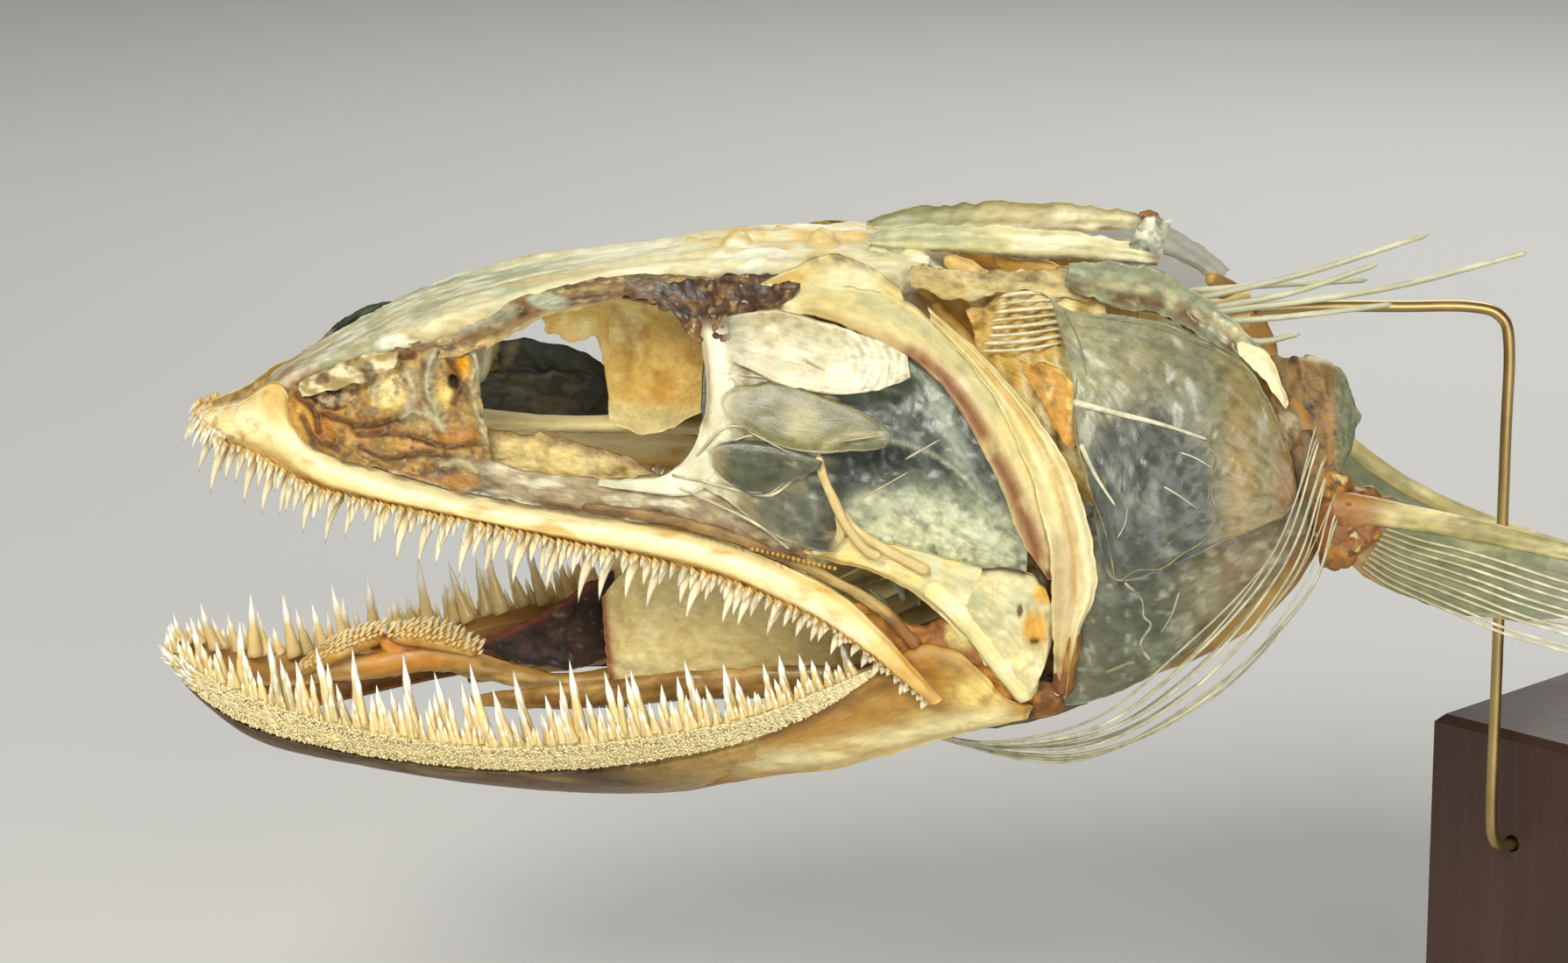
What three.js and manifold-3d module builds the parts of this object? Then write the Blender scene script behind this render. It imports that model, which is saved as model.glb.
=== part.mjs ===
// Dry head skeleton of a lizardfish with its shoulder girdle and pectoral fins,
// mouth open, held by a bent brass wire on a dark wooden block. Millimetres, +Z up.
//
// The bones are drawn in the head's own frame: X runs back from the tip of the lower jaw,
// Y = 0 is the plane between the two sides, and the left side of the head is at -Y.
// Every paired bone is drawn once, on the left, and mirrored.

import * as THREE from 'three';
import { mergeVertices } from 'three/addons/utils/BufferGeometryUtils.js';
import Module from 'manifold-3d';

const wasm = await Module();
wasm.setup();

// ---------------------------------------------------------------- driving sizes

const HEAD_WIDTH = 48;            // across both gill covers, at the widest place
const JAW_JOINT_X = 73;           // where the upper jaw hinges on the lower one
const JAW_JOINT_HALF = 23;        // half width of the head at that joint
const SNOUT_SET_BACK = 3;         // the upper jaw's tip lies this far behind the lower one's
const COVER_MID_X = 88;           // where the gill covers are widest
const CHEEK_MID_Z = -3;           // height at which the cheeks bulge most
const CHEEK_RISE = 27;            // from that height up to the crown and down to the throat
const SNOUT_FLATTENING = 0.5;     // how much lower the crown is at the very tip of the snout
const SNOUT_LENGTH = 22;          // over which the crown rises to its full height
const CHEEK_POWER = 2.2;          // 2 is a round cheek, more is a boxier one

const PLATE = 0.6;                // thin cheek and gill cover bones
const BAR = 1.6;                  // thicker bones of the cheek
const GAP = 0.3;                  // dried joint between two bones

const TEETH_PER_BONE = 24;
const TOOTH_RADIUS = 0.62;
const FIRST_TOOTH = 0.02;         // its place along the bone, from 0 at the tip to 1

const WIRE_RADIUS = 0.5;
const WIRE_X = 115.2;             // the upright stretch of the wire
const WIRE_TOP_Z = 15.3;
const WIRE_END_Z = -33.3;         // where the wire enters the side of the block

const BLOCK_SIDE = 46;
const BLOCK_HEIGHT = 34;
const BLOCK_BEVEL = 0.7;
const BLOCK_TOP_Z = -23.3;
const BLOCK_LEFT_X = 111.2;       // the corner that points to the head
const BLOCK_Y = 8.5;
const BLOCK_X = BLOCK_LEFT_X + BLOCK_SIDE / Math.SQRT2;

// ---------------------------------------------------------------- materials

const finish = (color, roughness, metalness = 0) =>
  new THREE.MeshStandardMaterial({ color, roughness, metalness });
const pale = () => finish(0xe2d3a4, 0.55);
const ivory = () => finish(0xe9dcb8, 0.45);
const amber = () => finish(0xb98a45, 0.5);
const glassy = () => finish(0x8c8c78, 0.35);

// ---------------------------------------------------------------- making shapes

// Half width of the head at a place along it and a height.
function cheek(x, z) {
  const back = (x - COVER_MID_X) / (COVER_MID_X - JAW_JOINT_X);
  const widest = x < JAW_JOINT_X
    ? JAW_JOINT_HALF * Math.sqrt(Math.max(x, 0) / JAW_JOINT_X)
    : HEAD_WIDTH / 2 - (HEAD_WIDTH / 2 - JAW_JOINT_HALF) * back ** 2;
  const crown = CHEEK_RISE * (1 - SNOUT_FLATTENING * Math.exp(-Math.max(x, 0) / SNOUT_LENGTH));
  const rise = Math.min(Math.abs((z - CHEEK_MID_Z) / (z > CHEEK_MID_Z ? crown : CHEEK_RISE)), 0.99);
  return widest * (1 - rise ** CHEEK_POWER) ** (1 / CHEEK_POWER);
}

// The geometry with only its corners left, and no triangle that has shrunk to a line.
function bare(geometry) {
  geometry.deleteAttribute('normal');
  geometry.deleteAttribute('uv');
  const merged = mergeVertices(geometry, 1e-4);
  const corners = merged.index.array;
  const kept = [];
  for (let i = 0; i < corners.length; i += 3) {
    const [a, b, c] = corners.slice(i, i + 3);
    if (a !== b && b !== c && c !== a) kept.push(a, b, c);
  }
  merged.setIndex(kept);
  return merged;
}

function toManifold(geometry) {
  const vertProperties = new Float32Array(geometry.attributes.position.array);
  const triVerts = new Uint32Array(geometry.index.array);
  return new wasm.Manifold(new wasm.Mesh({ numProp: 3, vertProperties, triVerts }));
}

function fromManifold(manifold) {
  const { vertProperties, triVerts } = manifold.getMesh();
  const geometry = new THREE.BufferGeometry();
  geometry.setAttribute('position', new THREE.Float32BufferAttribute(vertProperties, 3));
  geometry.setIndex(Array.from(triVerts));
  return geometry;
}

const join = (geometries) =>
  fromManifold(geometries.map(toManifold).reduce((whole, piece) => whole.add(piece)));

const cut = (geometry, tool) => fromManifold(toManifold(geometry).subtract(toManifold(tool)));

// A size that may change along a bone, from 0 at its front to 1 at its rear.
const sizeAt = (size, along) => (typeof size === 'function' ? size(along) : size);

// A thin bone between an upper and a lower edge, each a few [x, z] points, laid on the cheek.
// "out" is how far its outer face stands off the cheek.
function plate(top, bottom, { out = 0, thick = PLATE, columns = 5, rows = 2, side = cheek } = {}) {
  const spline = (points) => new THREE.SplineCurve(points.map((p) => new THREE.Vector2(...p)));
  const upper = spline(top);
  const lower = spline(bottom);
  const geometry = new THREE.BoxGeometry(1, 1, 1, columns, rows, 1);
  const at = geometry.attributes.position;
  for (let i = 0; i < at.count; i++) {
    const along = at.getX(i) + 0.5;
    const place = lower.getPoint(along).lerp(upper.getPoint(along), at.getY(i) + 0.5);
    const lift = sizeAt(out, along) - sizeAt(thick, along) * (0.5 - at.getZ(i));
    at.setXYZ(i, place.x, -(side(place.x, place.y) + lift), place.y);
  }
  return bare(geometry);
}

// A bone along a curve. Each row is [x, y, z, half height, half width]. "across" is the
// direction that the section's width keeps to, and "square" under 1 fills out its corners.
function bar(rows, { sides = 6, steps = 8, square = 1, across = new THREE.Vector3(0, 1, 0) } = {}) {
  const path = new THREE.CatmullRomCurve3(
    rows.map(([x, y, z]) => new THREE.Vector3(x, y, z)), false, 'catmullrom', 0.5);
  const size = new THREE.SplineCurve(rows.map((row) => new THREE.Vector2(row[3], row[4])));
  const geometry = new THREE.CylinderGeometry(1, 1, 1, sides, steps);
  const at = geometry.attributes.position;
  const fill = (value) => Math.sign(value) * Math.abs(value) ** square;
  for (let i = 0; i < at.count; i++) {
    const along = at.getY(i) + 0.5;
    const tangent = path.getTangent(along);
    const high = new THREE.Vector3().crossVectors(across, tangent).normalize();
    const wide = new THREE.Vector3().crossVectors(high, tangent);
    const half = size.getPoint(along);
    const place = path.getPoint(along)
      .addScaledVector(high, fill(at.getX(i)) * half.x)
      .addScaledVector(wide, fill(at.getZ(i)) * half.y);
    at.setXYZ(i, place.x, place.y, place.z);
  }
  return bare(geometry);
}

// A ray or stick of even thickness through a few points.
const rod = (points, radius, steps = 6, sides = 4) =>
  bar(points.map((p) => [...p, radius, radius]), { sides, steps });

// A pointed tooth from its root, leaning along a direction.
function tooth(root, lean, length, radius) {
  const sunk = 0.35;
  const geometry = new THREE.ConeGeometry(radius, length + sunk, 3, 1);
  geometry.translate(0, (length - sunk) / 2, 0);
  const turn = new THREE.Quaternion().setFromUnitVectors(
    new THREE.Vector3(0, 1, 0), lean.clone().normalize());
  geometry.applyQuaternion(turn);
  geometry.translate(root.x, root.y, root.z);
  return bare(geometry);
}

// Teeth along the edge of a jaw bone. "edge" is the biting edge, "point" is +1 for teeth that
// stand up and -1 for those that hang, and "tall" gives the longest tooth at each place.
function toothRow(edge, { point, tall, inside, out = 0, to = 0.97, side = cheek }) {
  const curve = new THREE.SplineCurve(edge.map((p) => new THREE.Vector2(...p)));
  const teeth = [];
  for (let i = 0; i < TEETH_PER_BONE; i++) {
    const along = FIRST_TOOTH + (to - FIRST_TOOTH) * (i / (TEETH_PER_BONE - 1));
    const at = curve.getPoint(along);
    const inner = i % 2;
    const length = tall(along) * (inner ? 1 : 0.6);
    const lift = sizeAt(out, along) - inside[inner];
    const root = new THREE.Vector3(at.x, -(side(at.x, at.y) + lift), at.y);
    const lean = new THREE.Vector3(-0.1 - 0.35 * along, 0.1, point);
    teeth.push(tooth(root, lean, length, TOOTH_RADIUS * (0.75 + 0.25 * inner)));
  }
  return teeth;
}

function mirrored(geometry) {
  const twin = geometry.clone();
  twin.scale(1, -1, 1);
  const corners = twin.index.array;
  for (let i = 0; i < corners.length; i += 3) {
    [corners[i], corners[i + 1]] = [corners[i + 1], corners[i]];
  }
  return twin;
}

// ---------------------------------------------------------------- the head

const head = new THREE.Group();

function add(name, geometry, material) {
  const mesh = new THREE.Mesh(geometry, material);
  mesh.name = name;
  head.add(mesh);
}

function addPair(name, geometry, material) {
  add(`${name}_left`, geometry, material);
  add(`${name}_right`, mirrored(geometry), material.clone());
}

// Skull: roof, snout block, palate bar, braincase and the wings in front of the eyes.
function neurocranium() {
  const roof = bar([
    [9.5, 0, 8.3, 0.8, 3.2], [14, 0, 10.8, 1.2, 6], [20, 0, 13.3, 1.3, 8.3],
    [26, 0, 15.3, 1.4, 9], [32, 0, 17, 1.2, 6.8], [39, 0, 18.4, 1.1, 5.2],
    [46, 0, 19.2, 1.2, 5.8], [53, 0, 19.6, 1.4, 7.8], [60, 0, 19.2, 1.6, 9.8],
    [67, 0, 18.6, 1.5, 8.6]], { sides: 8, steps: 9, square: 0.6 });
  const snout = bar([
    [10.5, 0, 7.6, 0.7, 3], [14, 0, 8.6, 1.9, 4.4], [18, 0, 9.4, 3.2, 5.6],
    [23, 0, 10.4, 4.4, 6.2], [27.5, 0, 11.6, 4.6, 4.6]], { sides: 6, steps: 4, square: 0.8 });
  const palate = bar([
    [16, 0, 6.6, 1.6, 3.4], [22, 0, 5.8, 1.5, 3], [29, 0, 5.3, 0.9, 1.7],
    [38, 0, 5.1, 0.7, 1.3], [47, 0, 5.4, 1.1, 2.1], [56, 0, 6.4, 1.8, 3.4],
    [65, 0, 8.2, 2, 4]], { sides: 6, steps: 8 });
  const braincase = bar([
    [38.5, 0, 13.6, 4.4, 1.1], [42, 0, 13, 5.8, 2.6], [47, 0, 12.8, 6.5, 4.6],
    [54, 0, 13, 6.6, 7.2], [61, 0, 13.2, 6, 8], [68, 0, 13.6, 4.6, 5.2]],
  { sides: 8, steps: 6, square: 0.8 });
  const across = new THREE.Vector3(0, 0, 1);
  const wing = bar([
    [25.5, 0, 11, 1.4, 4.4], [26.6, -5.5, 10.8, 1, 4.1], [28, -10.2, 9.8, 0.7, 3.2]],
  { sides: 6, steps: 3, across });
  const brow = bar([
    [50, 0, 16, 2.2, 2.6], [51.5, -6, 16.4, 2, 2.2], [53, -10.2, 16.4, 1.4, 1.4]],
  { sides: 6, steps: 3, across });
  return join([roof, snout, palate, braincase, wing, mirrored(wing), brow, mirrored(brow)]);
}

add('neurocranium', neurocranium(), pale());

addPair('nasal', bar([
  [12.5, -7.4, 10.2, 0.5, 1.1], [16, -9.2, 12.2, 0.5, 1.3], [20.5, -11, 13.2, 0.5, 1.1]],
{ steps: 5 }), pale());

// Upper jaw.
const UPPER_BITE = [[3.6, 6.2], [6, 4.6], [10, 3.6], [15, 1.5], [25, 0.1], [35, -1.3],
  [45, -2.9], [52, -4.9], [58, -7.4], [65.6, -13.4]];
const UPPER_BACK = [[4.6, 6.8], [7.6, 7.8], [11.2, 9.6], [14.4, 5.2], [24, 2.5], [34, 1.2],
  [44, 0.5], [52, -1.7], [59.2, -5], [66.6, -12.9]];

// Its rear end passes outside the lower jaw, and is thinner there.
const passing = (along) => THREE.MathUtils.smoothstep(along, 0.72, 0.9);
const upperSide = (x, z) => cheek(x - SNOUT_SET_BACK * Math.max(1 - x / JAW_JOINT_X, 0), z);
const upperOut = (along) => 0.3 + 1.6 * passing(along);
const upperThick = (along) => 1.9 - 0.7 * passing(along);
const longestUpper = (along) => 2 + 1.3 * Math.sin(Math.PI * Math.min(along * 1.1, 1));
addPair('premaxilla', join([
  plate(UPPER_BACK, UPPER_BITE, {
    out: upperOut, thick: upperThick, side: upperSide, columns: 12, rows: 2 }),
  ...toothRow(UPPER_BITE, {
    point: -1, tall: longestUpper, inside: [0.3, 0.9], out: upperOut, side: upperSide }),
]), ivory());

addPair('maxilla', bar([
  [37, -16.1, 1.9, 0.3, 0.5], [45, -17.8, 1.1, 0.4, 0.5], [53, -19.3, -1.3, 0.4, 0.5],
  [60.6, -20.5, -5, 0.5, 0.5], [64.6, -20.8, -8.8, 0.6, 0.5]],
{ sides: 4 }), amber());

// Lower jaw.
const LOWER_BITE = [[0.5, -14.3], [4, -15.6], [10, -17.6], [20, -19.5], [30, -20],
  [40, -18.6], [50, -16], [56, -13.2], [61, -10.6]];
const LOWER_KEEL = [[1, -16], [4, -18.8], [9.5, -22], [19, -23.5], [29, -24.7],
  [38, -25.1], [45, -24.4], [49, -23], [52, -21.8]];
const JAW_BACK_TOP = [[61.4, -11.2], [64.6, -9], [67.6, -9.3], [70, -11.2], [71.8, -13.3],
  [73.6, -14.1]];
const JAW_BACK_KEEL = [[52.6, -21.9], [57, -21], [62, -19.2], [66, -17.4], [70, -15.9],
  [73.4, -14.8]];

const longestLower = (along) => 2.6 + 2.9 * Math.sin(Math.PI * Math.min(0.15 + along * 0.8, 1));
const lowerThick = (along) => 1.7 + 0.7 * THREE.MathUtils.smoothstep(along, 0, 0.15);

// The specimen dried with its lower jaw twisted: the right half bows up along its middle.
const JAW_BOW = 6.2;
const BOW_RISE = [5, 33];         // along X, where the right half rises and comes back down
const BOW_FALL = [37, 58];
function bowed(geometry) {
  const bent = mirrored(geometry);
  const at = bent.attributes.position;
  for (let i = 0; i < at.count; i++) {
    const x = at.getX(i);
    const risen = THREE.MathUtils.smoothstep(x, ...BOW_RISE);
    const fallen = THREE.MathUtils.smoothstep(x, ...BOW_FALL);
    at.setZ(i, at.getZ(i) + JAW_BOW * risen * (1 - fallen));
  }
  return bent;
}

const dentary = join([
  plate(LOWER_BITE, LOWER_KEEL, { out: 0.2, thick: lowerThick, columns: 12, rows: 2 }),
  ...toothRow(LOWER_BITE, { point: 1, tall: longestLower, inside: [0.5, 1.5], to: 0.94 }),
]);
add('dentary_left', dentary, ivory());
add('dentary_right', bowed(dentary), ivory());
const articular = plate(JAW_BACK_TOP, JAW_BACK_KEEL, { out: 0.1, thick: BAR });
add('articular_left', articular, amber());
add('articular_right', bowed(articular), amber());

// Palate and cheek, from the snout back to the jaw joint.
addPair('palatine', plate(
  [[15, 6.9], [20, 5.6], [28, 5.2], [36, 4.2], [44, 2.4], [51, 0.9]],
  [[15, 5.6], [20, 3.6], [28, 2.6], [36, 1.9], [44, 1], [51, -0.8]],
  { out: -2.2, thick: 1 }), amber());
addPair('lachrymal', plate(
  [[17.5, 6.6], [22, 5.6], [27, 4.4], [32, 3]],
  [[17.2, 5.1], [22, 3.6], [27, 2.7], [32, 2]],
  { out: -0.6, thick: PLATE, columns: 5 }), amber());
addPair('pterygoid', plate(
  [[53.6, 0.2], [58.2, 0.7], [61.2, -0.3], [65.2, -0.9], [68.2, -1.9]],
  [[52.6, -0.9], [57.4, -1.8], [61.6, -2.8], [64.8, -4.6], [67, -6.6]],
  { out: -0.3, thick: 1.2 }), pale());
addPair('metapterygoid', plate(
  [[48, 13], [54, 15], [60, 14.4], [65, 11.6], [68.6, 7], [71, 3.4]],
  [[47, 3.4], [52, 1.5], [57, 1.4], [62, 0.6], [67, -0.6], [72, -1.4]],
  { out: -2.7, thick: PLATE }), glassy());
addPair('quadrate', plate(
  [[68.7, -2.2], [70.6, -1.9], [72.4, -2], [74, -3.2], [75, -5.2], [75.3, -8], [74.5, -11.2]],
  [[67.5, -6.8], [68.6, -8.2], [69.8, -9.9], [70.9, -11.5], [71.9, -12.8], [73, -13.4],
    [74, -13]],
  { out: 0.2, thick: BAR, rows: 3 }), pale());

// Round the eye.
addPair('postorbital', bar([
  [48.2, -15, 16.6, 0.9, 0.4], [48.4, -16.6, 12.6, 0.9, 0.4], [47, -18.2, 8.4, 0.7, 0.4],
  [44.2, -18.3, 5.4, 0.4, 0.4]], { steps: 6 }), ivory());
addPair('infraorbital_upper', plate(
  [[50.2, 16.9], [53, 17.6], [57, 17], [61, 16], [63.2, 14.8]],
  [[50.2, 14.8], [53, 12.8], [57, 11.9], [61, 12.4], [63, 13.4]],
  { out: 1.2 }), glassy());
addPair('infraorbital_middle', plate(
  [[50.2, 11.6], [53, 12.2], [57, 11.4], [60, 10.5], [62, 9.2]],
  [[49.9, 9.6], [52.2, 8.2], [56, 7.8], [59.6, 7.9], [61.8, 8.3]],
  { out: 1.2 }), glassy());
addPair('infraorbital_lower', plate(
  [[48.8, 7.4], [51, 7.8], [54, 7.3], [56.8, 6.5]],
  [[48.6, 5.4], [50.8, 3.9], [53.6, 4.7], [56.4, 5.9]],
  { out: 1.2, columns: 5 }), glassy());

// Suspension of the jaw and the gill cover.
addPair('hyomandibula', plate(
  [[52, 18.9], [58, 19.1], [63, 18.4], [66.8, 15.6], [70, 12], [73, 7], [74.6, 1.6],
    [75.3, -1.8]],
  [[52, 17.6], [57.6, 16.9], [62, 15.7], [65.6, 13.6], [68.4, 10.4], [71, 5.6], [72.8, 1],
    [74.2, -1.6]],
  { out: 0, thick: BAR, columns: 9 }), amber());
addPair('preopercle', plate(
  [[65.4, 18.2], [69.4, 15.2], [73.4, 11.2], [76.4, 7], [78.2, 2], [78.8, -3], [77.6, -6.6],
    [76.6, -12.6]],
  [[65.6, 17.3], [68.6, 14.6], [71.8, 11], [74.4, 5.6], [75.8, 0.6], [76.1, -4], [76, -8],
    [75.6, -12.4]],
  { out: 0.6, thick: 1, columns: 9 }), pale());
addPair('opercle', plate(
  [[75.4, 18.9], [77, 18.3], [80.5, 18.1], [84.5, 17.6], [88.5, 16], [91.2, 14.4],
    [93.6, 9.6], [94.6, 4.4]],
  [[76.2, 17.4], [77.4, 13.4], [77.3, 10.4], [78.8, 5.4], [80.6, -1.6], [84.5, -0.4],
    [89, 1.8], [93.6, 3.4]],
  { out: 0.9, columns: 8, rows: 4 }), glassy());
addPair('subopercle', plate(
  [[79.6, -1.2], [84, -0.6], [89, 1.2], [93, 3.2], [95.4, 3.3]],
  [[77.6, -13.4], [82, -11.2], [87.4, -7.4], [92, -3.2], [95.4, 1.6]],
  { out: -0.2, columns: 6, rows: 3 }), glassy());
addPair('interopercle', plate(
  [[64, -15.2], [69, -14.4], [73, -13.6], [77, -12.6]],
  [[65, -16.8], [70, -16.6], [75, -15.4], [78.6, -13.9]],
  { out: -2.1, columns: 4 }), glassy());

// Shoulder girdle.
addPair('posttemporal', bar([
  [61, -3.8, 21.6, 0.5, 0.4], [66, -4.8, 22, 1.2, 0.5], [72, -5.8, 22, 1.3, 0.5],
  [78, -7, 21.7, 1, 0.5], [84, -8.3, 21.2, 0.6, 0.4]], { sides: 6 }), pale());
addPair('supracleithrum', plate(
  [[81, 21.2], [84.5, 20.4], [88, 18.6], [91, 16.4], [92.4, 14.8]],
  [[80.6, 19.4], [84, 18.6], [87, 17], [89.8, 15.4], [91.8, 14.3]],
  { out: -0.5, columns: 5 }), glassy());
addPair('cleithrum', bar([
  [91, -15.4, 14.8, 0.6, 0.5], [93.6, -18.8, 12, 1.2, 0.6], [96, -20.4, 7, 1.7, 0.7],
  [96, -20.4, 1.4, 1.6, 0.7], [93.4, -19.6, -4, 1.5, 0.7], [89, -16, -9, 1.4, 0.7],
  [83.4, -10, -13.4, 1.2, 0.7], [78, -3.4, -16.2, 0.8, 0.6]], { steps: 12 }), amber());

// Pectoral fins: a fan of rays with a stout leading ray, folded to a narrow blade. The left
// one trails almost level, and the right one hangs lower.
const FIN_ROOT = [97.6, -22.4];
const RIGHT_DROOP = 10.2;
const finSide = (x) => -FIN_ROOT[1] + 0.06 * (x - FIN_ROOT[0]);

function pectoralFin() {
  const blade = plate(
    [[99.6, 4], [104, 2.7], [110.8, 1.6], [117, 0], [127, -2.8], [137, -5.8], [147, -8.8]],
    [[98.4, -0.2], [101.6, -3], [107.2, -5.6], [113.4, -7.9], [124, -10], [136, -10.4],
      [146, -9.8]],
    { side: finSide, thick: 0.7, out: 0.35, columns: 8, rows: 1 });
  const leadingRay = bar([
    [FIN_ROOT[0], FIN_ROOT[1], 2.9, 2.2, 0.9], [101.4, -22.7, 3.1, 1.2, 0.8],
    [110.8, -23.2, 1.4, 0.9, 0.6], [124, -24, -1.9, 0.6, 0.5], [146.6, -25.3, -8.9, 0.4, 0.4]],
  { sides: 5, steps: 6 });
  const heel = bar([
    [FIN_ROOT[0], FIN_ROOT[1], 4.4, 1.1, 0.8], [98.2, -22.4, 1.4, 1.6, 0.9],
    [99.2, -22.5, -1.6, 1.1, 0.7]], { sides: 5, steps: 3 });
  return join([blade, leadingRay, heel]);
}

// The fin with its rays bent down by "drop" past their roots.
function drooped(geometry, drop) {
  const bent = geometry.clone();
  const at = bent.attributes.position;
  for (let i = 0; i < at.count; i++) {
    const past = Math.max(at.getX(i) - FIN_ROOT[0] - 0.6, 0) / 9;
    at.setZ(i, at.getZ(i) - drop * (1 - Math.exp(-(past ** 1.3))));
  }
  return bent;
}

const fin = pectoralFin();
add('pectoral_fin_left', fin, pale());
add('pectoral_fin_right', mirrored(drooped(fin, RIGHT_DROOP)), pale());

// ---------------------------------------------------------------- throat and gills

// The hyoid bar, with the glassy gill rays that sweep round behind the gill cover.
const RAYS = 6;
const RAY_RADIUS = 0.3;
const RAY_LIFT = 1.4;             // how far the rays stand off the gill cover
function hyoid() {
  const strut = bar([
    [26, -3, -18.6, 0.9, 0.7], [36, -6.4, -17.2, 1.3, 0.7], [47, -10, -15.2, 1.3, 0.7],
    [58, -13, -14, 1.5, 0.7], [66, -14.4, -13.2, 1.2, 0.7]], { steps: 6 });
  const onCheek = (x, z, lift) => [x, -(cheek(x, z) + lift), z];
  const rays = [];
  for (let i = 0; i < RAYS; i++) {
    const spread = i / (RAYS - 1);
    const lift = RAY_LIFT + 0.7 * (i % 2);
    rays.push(rod([
      [48 + 17 * spread, -10.3 - 4 * spread, -15.2 + 1.8 * spread],
      [64 + 4 * spread, -11 - 5.5 * spread, -18.8 + 0.8 * spread],
      onCheek(77 + spread, -18.6 + 2.8 * spread, lift - 1.2),
      onCheek(88 - 2 * spread, -12.4 + 3.6 * spread, lift),
      onCheek(95.6 - 2.4 * spread, -3.4 + 3.4 * spread, lift),
      onCheek(98 - 1.2 * spread, 3 + 6.6 * spread, lift),
    ], RAY_RADIUS, 6, 3));
  }
  return join([strut, ...rays]);
}
addPair('hyoid_rays', hyoid(), glassy());

// Three gill arches on each side, joined at their lower ends.
function gillArches() {
  const arches = [];
  for (let i = 0; i < 3; i++) {
    const back = 4.2 * i;
    arches.push(bar([
      [46 + back, -2.6, -12.6, 0.7, 0.5], [57 + back, -8.4, -10.6, 0.8, 0.5],
      [66 + back, -11.6, -5.6, 0.8, 0.5], [68 + back, -11.4, 1.6, 0.7, 0.5],
      [64 + back, -8.6, 6.4, 0.5, 0.4]], { sides: 4, steps: 6 }));
  }
  const root = rod([[44, -2.6, -12.8], [50, -2.7, -12.6], [56, -2.8, -12.4]], 0.7, 2);
  return join([root, ...arches]);
}
addPair('gill_arches', gillArches(), amber());

// Tongue bones, with two patches of small teeth on a keel that runs back to the gills.
function tongue() {
  const front = bar([
    [11.6, 0, -16.9, 0.6, 1], [15, 0, -14.9, 1, 2.2], [19, 0, -13.4, 0.8, 1.2]], { steps: 5 });
  const back = bar([
    [19.4, 0, -13.6, 0.7, 1.4], [23.4, 0, -13.7, 1, 2.4], [27.4, 0, -15.2, 0.6, 1.2]],
  { steps: 5 });
  const keel = bar([
    [12.5, 0, -17, 0.8, 1], [18, 0, -16.3, 1.1, 1.1], [23.5, 0, -15.5, 1.3, 1.2],
    [27.5, 0, -16.6, 1.1, 1.1], [31, 0, -17.4, 0.9, 1], [36, 0, -17.9, 0.9, 1],
    [43, 0, -16.2, 1, 1], [50, 0, -14.5, 1, 1]], { steps: 10 });
  return join([keel, front, back]);
}
add('tongue', tongue(), amber());

// ---------------------------------------------------------------- spine

const VERTEBRAE = 5;
const VERTEBRA_LENGTH = 4.8;
const SPINE_X = 69;
const STICK_RADIUS = 0.4;
const SPINE_END_X = SPINE_X + VERTEBRAE * VERTEBRA_LENGTH;

// The first vertebrae, their upright spines and the long bones that float behind them.
function vertebrae() {
  const pieces = [];
  for (let i = 0; i < VERTEBRAE; i++) {
    const x = SPINE_X + i * VERTEBRA_LENGTH;
    const rim = 2.3 - 0.1 * i;
    const waist = 0.6 * rim;
    const end = x + VERTEBRA_LENGTH + (i < VERTEBRAE - 1 ? 0.1 : 0);
    const mid = (x + end) / 2;
    pieces.push(bar([
      [x, 0, 14.6, rim, rim], [mid, 0, 14.7, waist, waist], [end, 0, 14.8, rim, rim]],
    { sides: 6, steps: 2 }));
    pieces.push(bar([
      [mid - 0.6, 0, 15.6, 0.9, 0.9], [mid + 1.2, 0, 18.4, 0.7, 0.5],
      [mid + 3.4, 0, 21, 0.4, 0.4]], { sides: 4, steps: 2 }));
  }
  const sticks = [
    [[83.4, -1.2, 15.2], [96, -3, 18.4], [107.6, -3.4, 22.2]],
    [[88.2, -1, 15.2], [96, -2.4, 16.9], [103.4, -3.2, 19.6]],
    [[78.6, 1, 15.4], [92, 2.6, 16.4], [103.4, 3.4, 16.9]],
    [[88.2, -1.2, 14.8], [103.5, -3.6, 17.5], [115.6, -4.8, 20.9]],
    [[83.4, -1.4, 14], [94, -3.6, 15], [104.6, -4.4, 16.4]],
    [[88.2, -1.2, 14], [93, -3.4, 13], [97, -4, 13.8]],
  ];
  for (const stick of sticks) pieces.push(rod(stick, STICK_RADIUS, 3, 3));
  return join(pieces);
}
add('vertebrae', vertebrae(), pale());

// ---------------------------------------------------------------- stand

// The wire runs back from the spine, turns down and then turns into the block.
const wire = rod([
  [SPINE_END_X + GAP, 0, WIRE_TOP_Z - 0.3], [99, 0, WIRE_TOP_Z], [106, 0, WIRE_TOP_Z],
  [111.6, 0, WIRE_TOP_Z], [114.3, 0, WIRE_TOP_Z - 0.8], [WIRE_X, 0, WIRE_TOP_Z - 3.4],
  [WIRE_X, 0, 4], [WIRE_X, 0, -8], [WIRE_X, 0, -20], [WIRE_X, 0, -29.6],
  [WIRE_X + 0.5, 0.5, WIRE_END_Z + 0.8], [WIRE_X + 1.9, 1.9, WIRE_END_Z],
  [WIRE_X + 4.6, 4.6, WIRE_END_Z]], WIRE_RADIUS, 24, 6);
add('stand_wire', wire, finish(0xa9925a, 0.35, 0.8));

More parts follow.
